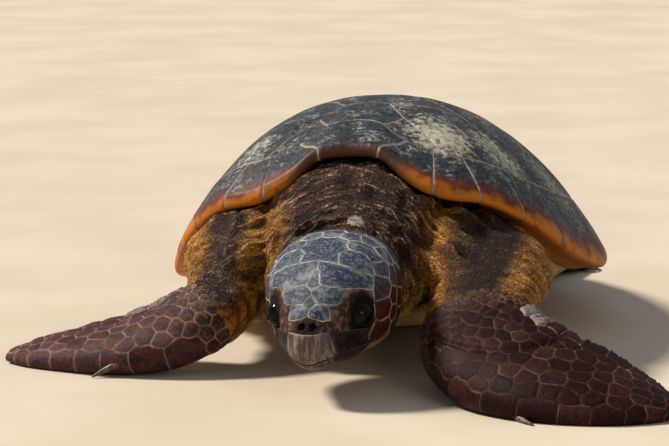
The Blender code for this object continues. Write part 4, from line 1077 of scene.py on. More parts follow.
# painted shade: darker where the folds press the skin in or where it lies hollow
hollow_shade = np.clip(np.maximum(-out / 0.004, hollow / 0.0022), 0, 1)
bump = np.clip(-hollow / 0.0020, 0, 1)
low_head = 1 - eased(hz, -0.010, 0.035)
sand = np.exp(-(((hx - 0.010) / 0.019) ** 2 + ((hy - 0.150) / 0.015) ** 2)) * (hz > 0)
# places on the snout and cheek that carry wrinkled skin and no shields, on both sides
BARE = [(0.0470, -0.0980, 0.0060), (0.0430, -0.1070, -0.0080), (0.0550, -0.0890, 0.0130), (0.0620, -0.0760, 0.0190),
        (0.0700, -0.0640, 0.0150), (0.0560, -0.0880, -0.0150), (0.0650, -0.0720, -0.0100), (0.0700, -0.0660, -0.0300),
        (0.0390, -0.1110, 0.0080), (0.0150, -0.1345, -0.0050), (0.0, -0.1365, -0.0030), (0.0290, -0.1275, -0.0070),
        (0.0420, -0.1180, -0.0250), (0.0520, -0.1040, -0.0350), (0.0600, -0.0900, -0.0400),
        (0.0740, -0.0620, -0.0760), (0.0850, -0.0300, -0.0780), (0.0880, 0.0, -0.0860), (0.0860, 0.0400, -0.0840)]
bare = np.full(len(points), 9.0)
for x, y, z in BARE:
    bare = np.minimum(bare, np.linalg.norm(np.stack([np.abs(hx) - x, hy - y, hz - z], axis=1), axis=1))
lore = 1 - eased(bare, 0.009, 0.017)
scaly = (1 - eased(hy, crease_y - 0.004, crease_y)) * (np.abs(hx) < 0.13)
skin_marks = {"amber": amber, "underside": underside, "socket": socket, "nostril_shade": nostril_shade, "hollow_shade": hollow_shade,
              "shade": np.clip(np.maximum(creased, mouth_dark), 0, 1), "scaly": scaly, "lore": lore,
              "bump": bump * (1 - skull), "low_head": low_head, "sand": sand, "cheek": cheek,
              "sideways": 0.45 * eased(hy, 0.15, 0.24) * (1 - sideways), "neck_flow": neck_flow,
              "limb_flow": limb_flow, "limb": limb_weight,
              # painted shade over the left limbs, the side away from the sun
              "painted_side_shade": limb_weight * (level[:, 0] > 0) * (1 - amber)}


def leather_finish():
    """Skin: brown and finely cracked above, ochre on the sides and throat, near black round the eyes; with painted
    shade in its creases and hollows, under the brows, in the nostrils and over the left limbs.
    """
    brown, pale_brown, ridge_tan = (0.036, 0.015, 0.008), (0.088, 0.042, 0.024), (0.470, 0.290, 0.200)
    side_shade, crack_black, crack_and_shade_black = (0.014, 0.005, 0.003), (0.010, 0.004, 0.003), (0.012, 0.005, 0.003)
    bright_ochre, deep_ochre, crest_ochre = (0.500, 0.225, 0.030), (0.290, 0.105, 0.010), (0.560, 0.320, 0.110)
    ochre_line, dry_sand = (0.045, 0.012, 0.003), (0.52, 0.46, 0.36)
    seam_pale, seam_tan = (0.48, 0.43, 0.36), (0.36, 0.17, 0.075)
    seam_brown, seam_dark = (0.20, 0.12, 0.08), (0.10, 0.08, 0.07)
    lore_dark, lore_pale, lore_crack = (0.060, 0.024, 0.016), (0.230, 0.150, 0.100), (0.016, 0.006, 0.004)
    light_cream, deep_cream = (0.62, 0.47, 0.26), (0.50, 0.33, 0.15)
    lid_black, lid_brown = (0.005, 0.003, 0.002), (0.024, 0.012, 0.008)
    nostril_hole_shade, shadow = (0.010, 0.005, 0.004), (0.012, 0.007, 0.005)
    skin = Finish("turtle_skin", Specular_IOR_Level=0.14, Subsurface_Weight=0.04, Subsurface_Scale=0.02)
    skin.shader.inputs["Subsurface Radius"].default_value = (1.0, 0.35, 0.15)
    blotch = skin.cloud(18.0, 5.0, 0.65)
    fine = skin.cloud(110.0, 6.0, 0.7)
    long_lines = skin.cloud(1.0, 5.0, 0.68, skin.stretched(skin.marks("neck_flow"), (170.0, 24.0, 10.0)), 0.8)
    cross_lines = skin.cloud(1.0, 5.0, 0.68, skin.stretched(skin.marks("neck_flow"), (38.0, 170.0, 10.0)), 0.9)
    neck_lines = skin.between(cross_lines, long_lines, skin.mark("sideways"))
    limb_lines = skin.cloud(1.0, 5.0, 0.70, skin.stretched(skin.marks("limb_flow"), (110.0, 60.0, 16.0)), 1.2)
    lines = skin.between(neck_lines, limb_lines, skin.mark("limb"))
    cracks = skin.cells(170.0, skin.stretched(skin.place, (1.0, 0.7, 1.0)), 0.9)
    grains = skin.cells(330.0)
    pebbles = skin.cells(125.0, skin.stretched(skin.place, (0.8, 1.0, 1.25)), 0.95)
    crest = skin.times(skin.ease(lines, 0.50, 0.61), skin.plus(skin.mark("bump"), 0.40))
    ochre = skin.laid(bright_ochre,
                      (deep_ochre, skin.ease(blotch, 0.40, 0.62)),
                      (crest_ochre, skin.times(crest, 0.60)),
                      (ochre_line, skin.ease(lines, 0.48, 0.40, 0.0, 0.85)))
    crumbs = skin.ease(skin.plus(skin.mark("sand"), skin.cloud(120.0, 6.0, 0.8)), 1.08, 1.22)
    seams = skin.laid(seam_pale,
                      (seam_tan, skin.mark("low_head")),
                      (seam_brown, skin.ease(fine, 0.42, 0.62, 0.0, 0.6)),
                      (seam_dark, skin.ease(skin.cloud(42.0, 3.0), 0.52, 0.38, 0.0, 0.60)))
    wrinkled = skin.over(lore_dark, lore_pale, skin.ease(skin.cloud(95.0, 5.0), 0.50, 0.66))
    wrinkled = skin.over(lore_crack, wrinkled, skin.ease(grains, 0.0001, 0.0013))
    cream = skin.over(light_cream, deep_cream, skin.ease(blotch, 0.4, 0.6))
    hidden = skin.times(skin.mark("underside"), skin.ease(skin.mark("cheek"), 0.0, 1.0, 0.85, 0.35))
    lids_and_brow_shade = skin.over(lid_black, lid_brown, skin.ease(fine, 0.52, 0.68))
    colour = skin.laid(brown,
                       (pale_brown, skin.ease(blotch, 0.35, 0.65)),
                       (ridge_tan, skin.times(crest, skin.between(0.96, 0.60, skin.mark("limb")))),
                       # painted shade over the left limbs, the side away from the sun
                       (side_shade, skin.times(skin.mark("painted_side_shade"), 0.80)),
                       (crack_black, skin.ease(lines, 0.49, 0.41, 0.0, 0.85)),
                       (crack_and_shade_black, skin.ease(cracks, 0.10, 0.03, 0.0, 0.70)),
                       (ochre, skin.mark("amber")),
                       (crack_black, skin.ease(pebbles, 0.085, 0.025, 0.0, 0.62)),
                       (dry_sand, skin.times(crumbs, 0.9)),
                       (seams, skin.times(skin.mark("scaly"), 0.92)),
                       (wrinkled, skin.mark("lore")),
                       (ochre, skin.mark("cheek")),
                       (cream, hidden),
                       # near-black lids, partly their own dark skin and partly painted shade, and painted shade under
                       # the brows
                       (lids_and_brow_shade, skin.mark("socket")),
                       (nostril_hole_shade, skin.mark("nostril_shade")),
                       (shadow, skin.times(skin.mark("shade"), 0.92)),
                       # painted shade in creases and hollows
                       (crack_and_shade_black, skin.times(skin.mark("hollow_shade"), 0.62)))
    rough = skin.ease(fine, 0.3, 0.7, 0.48, 0.68)
    grain = skin.plus(skin.times(skin.ease(cracks, 0.02, 0.18), 0.7), skin.ease(lines, 0.35, 0.65, 0.0, 1.3))
    grain = skin.plus(grain, skin.ease(pebbles, 0.02, 0.16, 0.0, 0.8))
    return skin.finish(colour, rough, grain, 0.0015, skin.ease(grains, 0.0, 0.0012), 0.0004)


skin_leather = leather_finish()
skin = marked_mesh("skin", points - normals * COAT_DEPTH, tris.tolist(), skin_leather, skin_marks, 0)
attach(skin, "root")
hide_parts(*FLESH)

# ---------------------------------------------------------------- the scales: shields of the head
# The skull is roofed with large flat shields of slate-blue horn that meet in pale seams: in pairs along
# the snout, a narrow frontal between the brows, a broad one on the crown, and columns of maroon shields
# behind each eye. Each is a solid tile seated on the skin, raised where it rounds over to its seams.
SEAM_GAP = 0.0011
NOT_NEAR = 8.0                           # a squared distance above this means that no such seed is near
TILE_ROOT = 0.0009                       # how deep a tile's underside lies below the skin
EDGE_HEIGHT, CROWN_RISE = 0.45, 0.55     # shares of a tile's height, at its seam and from there to its middle


def seat_plates(name, look, seeds, ids, heights, tones, faces_wanted, soft, rounding=0.0022, gap=SEAM_GAP,
                reach=0.035, fields=(), pales=None, flare=None):
    """Solid tiles over the skin. Each tile is the part of the skin nearest to its own seeds; a plate
    number below zero is bare skin. Fields are values that must be above zero on a tile."""
    tree = KDTree(len(seeds))
    for i, p in enumerate(seeds):
        tree.insert(p, i)
    tree.balance()
    use = tris[faces_wanted]
    near = np.zeros((len(points), min(10, len(seeds))), int)
    for v in np.unique(use):
        near[v] = [hit[1] for hit in tree.find_n(points[v], near.shape[1])]
    near_ids = np.asarray(ids)[near]
    far2 = ((points[:, None, :] - seeds[near]) ** 2).sum(-1)
    owner = near_ids[:, 0]

    def blended(v, counted, nearest):
        """Squared distance to the counted seeds, rounded off where several are about as near."""
        shares = np.where(counted, np.exp(-(far2[v] - nearest[..., None]) / soft ** 2), 0).sum(-1)
        return nearest - soft ** 2 * np.log(shares + 1e-300)

    def inside(v, plate):
        """How far points lie inside a plate's border, in metres."""
        mine = near_ids[v] == plate[..., None]
        own, other = np.where(mine, far2[v], FAR), np.where(mine, FAR, far2[v])
        d_own, d_other = own.min(-1), other.min(-1)
        p, q = (seeds[np.take_along_axis(near[v], far.argmin(-1)[..., None], -1)[..., 0]] for far in (own, other))
        apart = np.maximum(np.linalg.norm(p - q, axis=-1), 1e-4)
        value = (blended(v, ~mine, d_other) - blended(v, mine, d_own)) / (2 * apart)
        value = np.where(d_own > NOT_NEAR, -0.01, np.where(d_other > NOT_NEAR, 0.02, value)) - gap / 2
        value = np.minimum(value, reach - np.sqrt(np.minimum(d_own, NOT_NEAR)))
        for field in fields:
            value = np.minimum(value, field[v])
        return value

    corners, plate = [], []
    for corner in range(3):
        of = owner[use[:, corner]]
        fresh = of >= 0
        for before in range(corner):
            fresh &= of != owner[use[:, before]]
        corners.append(use[fresh])
        plate.append(of[fresh])
    corners, plate = np.concatenate(corners), np.concatenate(plate)
    depth = inside(corners, np.repeat(plate[:, None], 3, axis=1))
    return build_tiles(name, look, corners, plate, depth, heights, tones, rounding, pales, flare)


def build_tiles(name, look, corners, plate, depth, heights, tones, rounding, pales=None, flare=None):
    """Cuts triangles along the borders of their tiles, raises the tiles and closes them below."""
    made, index, tile_tris = [], {}, []

    def numbered(key, row):
        """The number of a tile's point. Its row says between which two points of the skin it lies, where,
        how deep inside the tile's border, and in which tile."""
        if key not in index:
            index[key] = len(made)
            made.append(row)
        return index[key]

    for t in np.nonzero((depth > 0).any(axis=1))[0]:
        p = int(plate[t])
        v, d = corners[t].tolist(), depth[t].tolist()
        loop = []
        for i in range(3):
            a, b, da, db = v[i], v[(i + 1) % 3], d[i], d[(i + 1) % 3]
            if da > 0:
                loop.append(numbered((p, a), (a, a, 0.0, da, p)))
            if (da > 0) != (db > 0):
                if db > 0:
                    a, b, da, db = b, a, db, da
                loop.append(numbered((p, min(a, b), max(a, b)), (a, b, da / (da - db), 0.0, p)))
        tile_tris += [(loop[0], loop[k], loop[k + 1]) for k in range(1, len(loop) - 1)]
    a, b, t, deep, of = (np.array(column) for column in zip(*made))
    at = points[a] * (1 - t[:, None]) + points[b] * t[:, None]
    facing = normals[a] * (1 - t[:, None]) + normals[b] * t[:, None]
    facing /= np.maximum(np.linalg.norm(facing, axis=1, keepdims=True), 1e-9)
    rise = 1 - (1 - np.minimum(deep / rounding, 1.0)) ** 2
    raised = np.asarray(heights)[of] * (EDGE_HEIGHT + CROWN_RISE * rise)
    top = at - facing * COAT_DEPTH + facing * raised[:, None]
    low = at - facing * (COAT_DEPTH + TILE_ROOT)
    if flare is not None:
        top = top + flare(at, of)
    count, tiles = len(at), len(heights)
    tile_tris = np.array(tile_tris)
    directed = np.concatenate([tile_tris[:, [0, 1]], tile_tris[:, [1, 2]], tile_tris[:, [2, 0]]])
    keys = directed.min(1) * count + directed.max(1)
    _, first, times = np.unique(keys, return_index=True, return_counts=True)
    rim = directed[first[times == 1]]
    sides = np.concatenate([np.stack([rim[:, 1], rim[:, 0], rim[:, 0] + count], 1),
                            np.stack([rim[:, 1], rim[:, 0] + count, rim[:, 1] + count], 1)])
    faces = np.concatenate([tile_tris, tile_tris[:, ::-1] + count, sides])
    middle = np.stack([np.bincount(of, at[:, i], tiles) for i in range(3)], 1)
    middle /= np.maximum(np.bincount(of, minlength=tiles), 1)[:, None]
    pale = np.zeros(count) if pales is None else np.asarray(pales)[of]
    marks = {"edge": np.concatenate([deep, deep * 0]), "tone": np.tile(np.asarray(tones)[of], 2),
             "pale": np.tile(pale, 2)}
    obj = marked_mesh(name, np.concatenate([top, low]), faces.tolist(), look, marks, 50)
    bake_patches(obj, np.tile(at, (2, 1)), np.tile(of, 2), middle)
    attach(obj, "root")
    return obj


MAP_START, MAP_SPAN, MAP_PATCH, MAP_LEAN = 0.03, 0.94, 0.0015, (0.35, -0.35)


def bake_patches(obj, at, of, middle):
    """The map OFBake: each tile a small patch where it is rooted on the unrolled skin."""
    root = placed(middle, to_head)
    low, high = root[np.unique(of)].min(0), root[np.unique(of)].max(0)
    centre = (low + high) / 2
    turn = np.arctan2(root[:, 2] - centre[2], root[:, 0] - centre[0]) / (2 * math.pi) + 0.5
    along = (root[:, 1] - low[1]) / max(high[1] - low[1], 1e-6)
    rooted = np.stack([MAP_START + MAP_SPAN * turn, MAP_START + MAP_SPAN * along], 1)
    local = placed(at, to_head) - root[of]
    size = np.zeros(len(middle))
    np.maximum.at(size, of, np.linalg.norm(local, axis=1))
    flat = local[:, [0, 1]] + local[:, [2, 2]] * MAP_LEAN
    uv = rooted[of] + flat / np.maximum(size[of], 1e-6)[:, None] * MAP_PATCH
    layer = obj.data.uv_layers.new(name="OFBake")
    loops = np.empty(len(obj.data.loops), int)
    obj.data.loops.foreach_get("vertex_index", loops)
    layer.data.foreach_set("uv", uv[loops].astype(np.float32).ravel())


def shield_finish(name, slate, maroon, seam, tan_seam, light, heart, gloss, shine):
    """Head and limb scales: slate to maroon horn by each tile's tone, with pale edges."""
    slate_shade, maroon_shade, rubbed = (0.022, 0.026, 0.040), (0.010, 0.003, 0.003), (0.11, 0.045, 0.030)
    worn_pale, worn_brown, cream = (0.20, 0.175, 0.160), (0.055, 0.032, 0.028), (0.50, 0.36, 0.18)
    small_dark, small_pale = (0.026, 0.012, 0.008), (0.110, 0.062, 0.040)
    horn = Finish(name, Specular_IOR_Level=shine)
    tone, pale, edge = horn.mark("tone"), horn.mark("pale"), horn.mark("edge")
    cloud = horn.cloud(55.0, 5.0, 0.65)
    specks = horn.cloud(190.0, 6.0, 0.78)
    streaks = horn.cloud(1.0, 4.0, 0.6, horn.stretched(horn.place, (260.0, 60.0, 90.0)))
    shade = horn.over(slate_shade, maroon_shade, horn.ease(tone, 0.2, 0.6))
    inner = horn.times(horn.ease(edge, 0.002, 0.008, 0.0, 0.72), horn.ease(tone, 0.45, 0.15))
    washed = horn.times(horn.ease(horn.cloud(26.0, 4.0, 0.6), 0.50, 0.64, 0.0, 0.65), horn.ease(tone, 0.5, 0.1))
    speckle = horn.times(horn.ease(tone, 0.8, 0.1, 0.08, 1.0), horn.ease(specks, 0.49, 0.60, 0.0, 0.60))
    worn = horn.over(worn_pale, worn_brown, horn.ease(specks, 0.52, 0.42))
    below = horn.times(horn.ease(pale, 0.0, 1.0), horn.ease(cloud, 0.3, 0.5, 0.75, 1.0))
    small = horn.over(small_dark, small_pale, horn.ease(specks, 0.46, 0.58))
    border = horn.plus(edge, horn.ease(horn.cloud(190.0, 3.0), 0.3, 0.7, -0.0004, 0.0004))
    seams = horn.over(seam, tan_seam, horn.ease(tone, 0.35, 0.8))
    broken = horn.ease(horn.cloud(42.0, 3.0), 0.38, 0.58, 0.30, 0.90)
    colour = horn.laid(slate,
                       (maroon, horn.ease(tone, 0.15, 0.85)),
                       (shade, horn.ease(cloud, 0.58, 0.42, 0.0, 0.70)),
                       (heart, inner),
                       (light, washed),
                       (light, speckle),
                       (shade, horn.ease(specks, 0.46, 0.34, 0.0, 0.65)),
                       (rubbed, horn.ease(streaks, 0.55, 0.80, 0.0, 0.30)),
                       (worn, horn.ease(tone, -0.05, -0.35, 0.0, 0.9)),
                       (cream, below),
                       (small, horn.ease(pale, 0.0, -1.0, 0.0, 0.85)),
                       (seams, horn.times(horn.ease(border, 0.0014, 0.0004), broken)))
    rough = horn.ease(specks, 0.3, 0.7, gloss - 0.04, gloss + 0.18)
    return horn.finish(colour, rough, specks, 0.0012, streaks, 0.0004)


head_horn = shield_finish("head_shields", (0.050, 0.068, 0.106), (0.048, 0.007, 0.005), (0.56, 0.53, 0.48),
                          (0.46, 0.255, 0.130), (0.238, 0.256, 0.256), (0.012, 0.020, 0.052), 0.46, 0.16)

# Tone and seeds of each shield, in the head's frame; pairs are mirrored. Tone 0 is slate, 1 is maroon.
SHIELD_HEIGHT = 0.0016
MIDLINE_SHIELDS = [(0.40, [(0.0, -0.1120, 0.0262)]),
                   (0.20, [(0.0, -0.0635, 0.0545), (0.0, -0.0720, 0.0505), (0.0, -0.0820, 0.0450)]),
                   (0.00, [(-0.012, -0.030, 0.068), (0.012, -0.030, 0.068), (-0.018, -0.008, 0.071),
                           (0.018, -0.008, 0.071), (0.0, -0.018, 0.071), (-0.014, 0.012, 0.072),
                           (0.014, 0.012, 0.072)]),
                   (0.05, [(0.0, 0.048, 0.069), (0.0, 0.060, 0.067)]),
                   (0.10, [(0.0, 0.088, 0.060)])]
PAIRED_SHIELDS = [(0.15, [(0.0105, -0.1205, 0.0170), (0.0180, -0.1225, 0.0125), (0.026, -0.1210, 0.010)]),
                  (0.10, [(0.0125, -0.1030, 0.0320), (0.0150, -0.0950, 0.0370), (0.0240, -0.0980, 0.0335),
                          (0.0330, -0.0960, 0.0280)]),
                  (0.05, [(0.0075, -0.0575, 0.0575), (0.0120, -0.0670, 0.0530), (0.0165, -0.0770, 0.0470),
                          (0.0270, -0.0680, 0.0510), (0.0400, -0.0640, 0.0470), (0.0540, -0.0580, 0.0400),
                          (0.0640, -0.048, 0.034)]),
                  (0.00, [(0.0420, -0.0240, 0.0630), (0.0540, -0.0180, 0.0570), (0.0620, -0.026, 0.0500)]),
                  (0.00, [(0.0480, 0.0120, 0.0640), (0.0600, 0.0140, 0.0570), (0.0720, 0.0080, 0.0480)]),
                  (0.05, [(0.0300, 0.0440, 0.0690)]),
                  (0.05, [(0.0560, 0.0500, 0.0600)]),
                  (0.15, [(0.0800, 0.0360, 0.0440)]),
                  (0.12, [(0.0280, 0.0780, 0.0620)]),
                  (0.20, [(0.0560, 0.0800, 0.0520)]),
                  (0.35, [(0.0840, 0.0740, 0.0240)]),
                  (0.30, [(0.0820, -0.0020, 0.0360), (0.0860, 0.0050, 0.0330)]),
                  (0.55, [(0.0870, -0.0230, 0.0140), (0.0900, -0.0130, 0.0120)]),
                  (0.95, [(0.0890, -0.0290, -0.0180), (0.0930, -0.0190, -0.0190)]),
                  (1.00, [(0.0820, -0.0480, -0.0480), (0.0870, -0.0340, -0.0480), (0.0900, -0.0230, -0.0460)]),
                  (0.55, [(0.0960, 0.0190, 0.0170)]),
                  (0.80, [(0.0970, 0.0050, -0.0100)]),
                  (0.95, [(0.0960, -0.0030, -0.0330)]),
                  (1.00, [(0.0930, -0.0010, -0.0580)]),
                  (0.70, [(0.0970, 0.0450, 0.0040)]),
                  (0.85, [(0.0970, 0.0330, -0.0230)]),
                  (0.95, [(0.0950, 0.0260, -0.0500)]),
                  (0.70, [(0.0920, 0.0760, -0.0100)]),
                  (0.85, [(0.0920, 0.0640, -0.0400)]),
                  (0.95, [(0.0700, -0.0760, -0.0520)])]
seeds, ids, tones = [], [], []
for side, plan in ((1, MIDLINE_SHIELDS), (1, PAIRED_SHIELDS + [(None, BARE)]), (-1, PAIRED_SHIELDS + [(None, BARE)])):
    for tone, places in plan:
        seeds += [(x * side, y, z) for x, y, z in places]
        ids += [-1 if tone is None else len(tones)] * len(places)
        tones += [] if tone is None else [tone]
seeds = placed(np.array(seeds), head_place)
clear_of_lids, clear_of_crease = (lid_open - 1.62) * 0.012, crease_y - 0.006 - hy
clear_of_mouth = (hz - mouth - 0.004) + (hy > -0.005) * 0.05
on_head = ((hy[tris] < 0.12) & (np.abs(hx[tris]) < 0.12) & (hz[tris] > -0.10)).all(axis=1)
shields = seat_plates("head_shields", head_horn, seeds, ids, np.full(len(tones), SHIELD_HEIGHT), tones, on_head,
                      soft=0.0055, fields=[clear_of_lids, clear_of_crease, clear_of_mouth])


# ---------------------------------------------------------------- the beak and the lower jaw
# A loggerhead has no teeth: thick horn sheathes the front of both jaws, worn matt and streaked from the
# nostrils down, with the upper sheath hooked a little over the lower. Each is a solid shell seated on
# the skin of its jaw.
def beak_finish():
    """Matt horn, streaked grey in front and, where its tone is 1, near black at the sides: dark horn and painted
    shade.
    """
    dull, grey, stain = (0.060, 0.038, 0.030), (0.230, 0.180, 0.145), (0.050, 0.024, 0.016)
    edge_pale = (0.50, 0.42, 0.31)
    black, brown_black = (0.006, 0.003, 0.002), (0.030, 0.012, 0.007)
    horn = Finish("beak_horn", Specular_IOR_Level=0.26, Coat_Weight=0.04, Coat_Roughness=0.3)
    tone = horn.mark("tone")
    streaks = horn.cloud(1.0, 5.0, 0.65, horn.stretched(horn.place, (230.0, 60.0, 22.0)), 0.5)
    cloud = horn.cloud(60.0, 5.0, 0.7)
    dark_horn_and_shade = horn.over(black, brown_black, horn.ease(cloud, 0.48, 0.68))
    rim = horn.times(horn.ease(horn.mark("edge"), 0.0016, 0.0005, 0.0, 0.16), horn.ease(tone, 0.0, 1.0, 1.0, 0.30))
    colour = horn.laid(dull,
                       (grey, horn.ease(streaks, 0.42, 0.66)),
                       (stain, horn.ease(cloud, 0.48, 0.66, 0.0, 0.85)),
                       # near black by tone on the flanks: their dark horn and painted shade
                       (dark_horn_and_shade, tone),
                       (edge_pale, rim))
    return horn.finish(colour, horn.ease(streaks, 0.3, 0.7, 0.42, 0.60), streaks, 0.0010, cloud, 0.0004)


beak_horn = beak_finish()
# half-widths of the horn in front, and where the lower jaw's flanks begin
UPPER_HALF, LOWER_HALF, LOWER_FLANK, SHEATH_ROUNDING = 0.0355, 0.030, 0.0304, 0.004
mouth = mouth_line(at_head)
aside = np.abs(hx)
front_of_head = (aside < 0.12) & (hz > -0.13) & (hy < 0.05)
sheath_top = np.interp(hy, [-0.150, -0.132, -0.100, -0.062], [-0.0125, -0.0125, -0.0220, -0.0340])
upper_field = np.minimum(np.minimum(sheath_top - hz, hz - mouth - 0.0006), -0.060 - hy)
lower_field = np.minimum(mouth - 0.0012 - hz, -0.052 - hy - 0.4 * (mouth - hz))
horn_half = UPPER_HALF - 0.0045 * eased(hz, -0.045, -0.012) + waver(at_head, 90.0, 0.0022, 4.0)
for name, jaw, across, height, node, tone in (
        ("upper_beak_sheath", upper_field, horn_half - aside, 0.0023, "upper_beak", 0.0),
        ("upper_beak_flanks", upper_field, aside - horn_half - 0.0006, 0.0024, "upper_beak", 1.0),
        ("lower_beak_sheath", lower_field, LOWER_HALF - aside, 0.0020, "lower_jaw", 0.35),
        ("lower_beak_flanks", lower_field, aside - LOWER_FLANK, 0.0018, "lower_jaw", 0.9)):
    field = np.where(front_of_head, np.minimum(jaw, across), -1.0)
    corners = tris[(field[tris] > -0.01).all(axis=1) & (field[tris] > 0).any(axis=1)]
    sheath = build_tiles(name, beak_horn, corners, np.zeros(len(corners), int), field[corners], [height], [tone],
                         SHEATH_ROUNDING)
    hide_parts(node)

# ---------------------------------------------------------------- the eyes
# Large dark eyes with a wet clear surface, set deep between thick lids and turned out and a little
# forward. The iris is so dark a brown that it hardly shows against the pupil.
def eye_finish():
    """A wet ball: a black pupil in a dark brown iris, and brown again towards the lids."""
    pupil, ball_brown = (0.002, 0.002, 0.002), (0.0030, 0.0020, 0.0015)
    iris_dark, iris_brown = (0.0025, 0.0018, 0.0012), (0.0045, 0.0028, 0.0018)
    eye = Finish("wet_eye", Roughness=0.07, Specular_IOR_Level=0.10)
    off_axis = eye.mark("off_axis")
    iris = eye.over(iris_brown, iris_dark, eye.ease(eye.cloud(260.0, 4.0), 0.4, 0.6))
    return eye.finish(eye.laid(pupil, (iris, eye.ease(off_axis, 0.42, 0.48)),
                               (ball_brown, eye.ease(off_axis, 0.78, 0.95))))


wet_eye = eye_finish()
CORNEA_BULGE, CORNEA_ANGLE = 0.035, 0.55
for side, word in ((1, "left"), (-1, "right")):
    shaped = bmesh.new()
    bmesh.ops.create_uvsphere(shaped, u_segments=48, v_segments=28, radius=EYE_RADIUS)
    mesh = bpy.data.meshes.new(f"eyeball_{word}")
    shaped.to_mesh(mesh)
    shaped.free()
    ball = mesh_points(mesh)
    off_axis = np.arccos(np.clip((ball / EYE_RADIUS) @ eye_way(side), -1, 1))
    ball = ball * (1 + CORNEA_BULGE * np.exp(-(off_axis / CORNEA_ANGLE) ** 2))[:, None]
    faces = [tuple(p.vertices) for p in mesh.polygons]
    eye = marked_mesh(f"eye_ball_{word}", placed(ball + EYE_AT * (side, 1, 1), head_place), faces, wet_eye,
                      {"off_axis": off_axis}, 0)
    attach(eye, "root")
    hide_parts(f"eye_{word}")

# ---------------------------------------------------------------- the scales: limbs
# The paddles are covered in flat dark red-brown scales: small irregular ones on the upper arm, narrow
# ones across the bend of the elbow, six-sided ones on the blade, and a row of large ones along both
# edges. Those below are cream. Pale skin shows in the seams between them.
limb_horn = shield_finish("limb_scales", (0.105, 0.034, 0.030), (0.013, 0.0015, 0.0012), (0.300, 0.195, 0.170),
                          (0.080, 0.034, 0.024), (0.120, 0.062, 0.054), (0.022, 0.006, 0.006), 0.36, 0.06)


ROUND_SCALES = 96                        # points round a limb, the first half of them above


def limb_seeds(stations, side, start, plan, edge_row, seed, tone_range):
    """Roots of a limb's scales, the number of the scale each belongs to, and the scales' tones. The plan
    gives, by station, how long a scale is along the limb and across it. The edge row's plates have the
    station of the first, their length and width, and how far along the limb one is worn."""
    rng = np.random.default_rng(seed)
    edge_start, edge_length, edge_width, worn_from = edge_row
    rings = placed(limb_sections(stations, side, ROUND_SCALES).reshape(-1, 3), resting).reshape(-1, ROUND_SCALES, 3)
    centres = rings.mean(axis=1)
    run = run_of(centres)
    at_station = np.linspace(0, len(stations) - 1, len(rings))
    seeds, ids, tones, pales, trails = [], [], [], [], []

    def hoop(s):
        """The closed line round the limb at a length along it, and how far round its points lie."""
        i = np.interp(s, run, np.arange(len(run)))
        a, b = int(i), min(int(i) + 1, len(rings) - 1)
        ring = rings[a] * (1 - (i - a)) + rings[b] * (i - a)
        closed = np.concatenate([ring, ring[:1]])
        return closed, run_of(closed)

    def on_line(line, places, at):
        """The point of a line whose own points lie at these places."""
        return np.array([np.interp(at, places, line[:, i]) for i in range(3)])

    # bare skin above the first row
    s = first_row = np.interp(start, at_station, run)
    bare_count = int(hoop(first_row)[1][-1] / 0.009)
    for k in range(bare_count):
        closed, _ = hoop(max(first_row - rng.uniform(0.006, 0.020), 0.0))
        at = (k + rng.uniform(0.2, 0.8)) / bare_count * ROUND_SCALES
        seeds.append(on_line(closed, np.arange(ROUND_SCALES + 1), at))
        ids.append(-1)
    # rows round the limb, above it and below, between the edge rows where there are any
    rows = 0
    while s < run[-1] - 0.004:
        station = np.interp(s, run, at_station)
        along, across = (np.interp(station, [p[0] for p in plan], [p[k] for p in plan]) for k in (1, 2))
        closed, arc = hoop(s)
        total, lead = arc[-1], arc[ROUND_SCALES // 2]
        wide = min(edge_width, lead * 0.30) if station > edge_start else 0.0
        for low, high, under in ((0.0, lead, False), (lead, total, True)):
            room = (high - low) - 2 * wide
            count = max(int(round(room / across)), 1)
            for k in range(count):
                place = (k + (0.25 if rows % 2 else 0.75)) / count
                at = low + wide + place * room + rng.normal(0, across * 0.09)
                seeds.append(on_line(closed, arc, at % total) + rng.normal(0, along * 0.11, 3))
                ids.append(len(tones))
                tones.append(rng.uniform(*tone_range))
                pales.append(float(0.22 < place < 0.78) if under else -max(1 - rows / 5, 0.0))
                trails.append(False)
        s += along
        rows += 1
    # the row of large plates along each edge
    s = np.interp(edge_start, at_station, run)
    while s < run[-1] - 0.006:
        length = edge_length * (1.0 if s < run[-1] - 0.08 else 0.6)
        for trailing in (True, False):
            worn = trailing and worn_from <= s / run[-1] < worn_from + 0.13
            for share in (0.14, 0.38, 0.62, 0.86):
                closed, arc = hoop(min(s + share * length, run[-1]))
                lead = arc[ROUND_SCALES // 2]
                wide = min(edge_width * (1.35 if worn else 1.0), lead * 0.36)
                for away in (-0.45, 0.0, 0.45):
                    seeds.append(on_line(closed, arc, ((0.0 if trailing else lead) + away * wide) % arc[-1]))
                    ids.append(len(tones))
            tones.append(WORN_TONE if worn else rng.uniform(*tone_range))
            pales.append(0)
            trails.append(trailing)
        s += length
    return (*(np.array(made) for made in (seeds, ids, tones, pales, trails)), rings, centres)


def scalloped(trails, rings, centres):
    """Bows the outer border of each plate of the trailing edge outwards."""
    def bow(at, of):
        """How far points move, each on its plate."""
        _, _, chord, half, ahead, off = beside_limb(at, rings[:, 0], centres)
        reach = (off * chord).sum(1) / half
        along = (at * ahead).sum(1)
        low, high = np.full(len(trails), FAR), np.full(len(trails), -FAR)
        np.minimum.at(low, of, along)
        np.maximum.at(high, of, along)
        share = (along - (low[of] + high[of]) / 2) / np.maximum((high[of] - low[of]) / 2, 1e-4)
        push = SCALLOP * eased(reach, 0.72, 1.0) * np.clip(1 - share ** 2, 0, 1) * trails[of]
        return chord * push[:, None]
    return bow


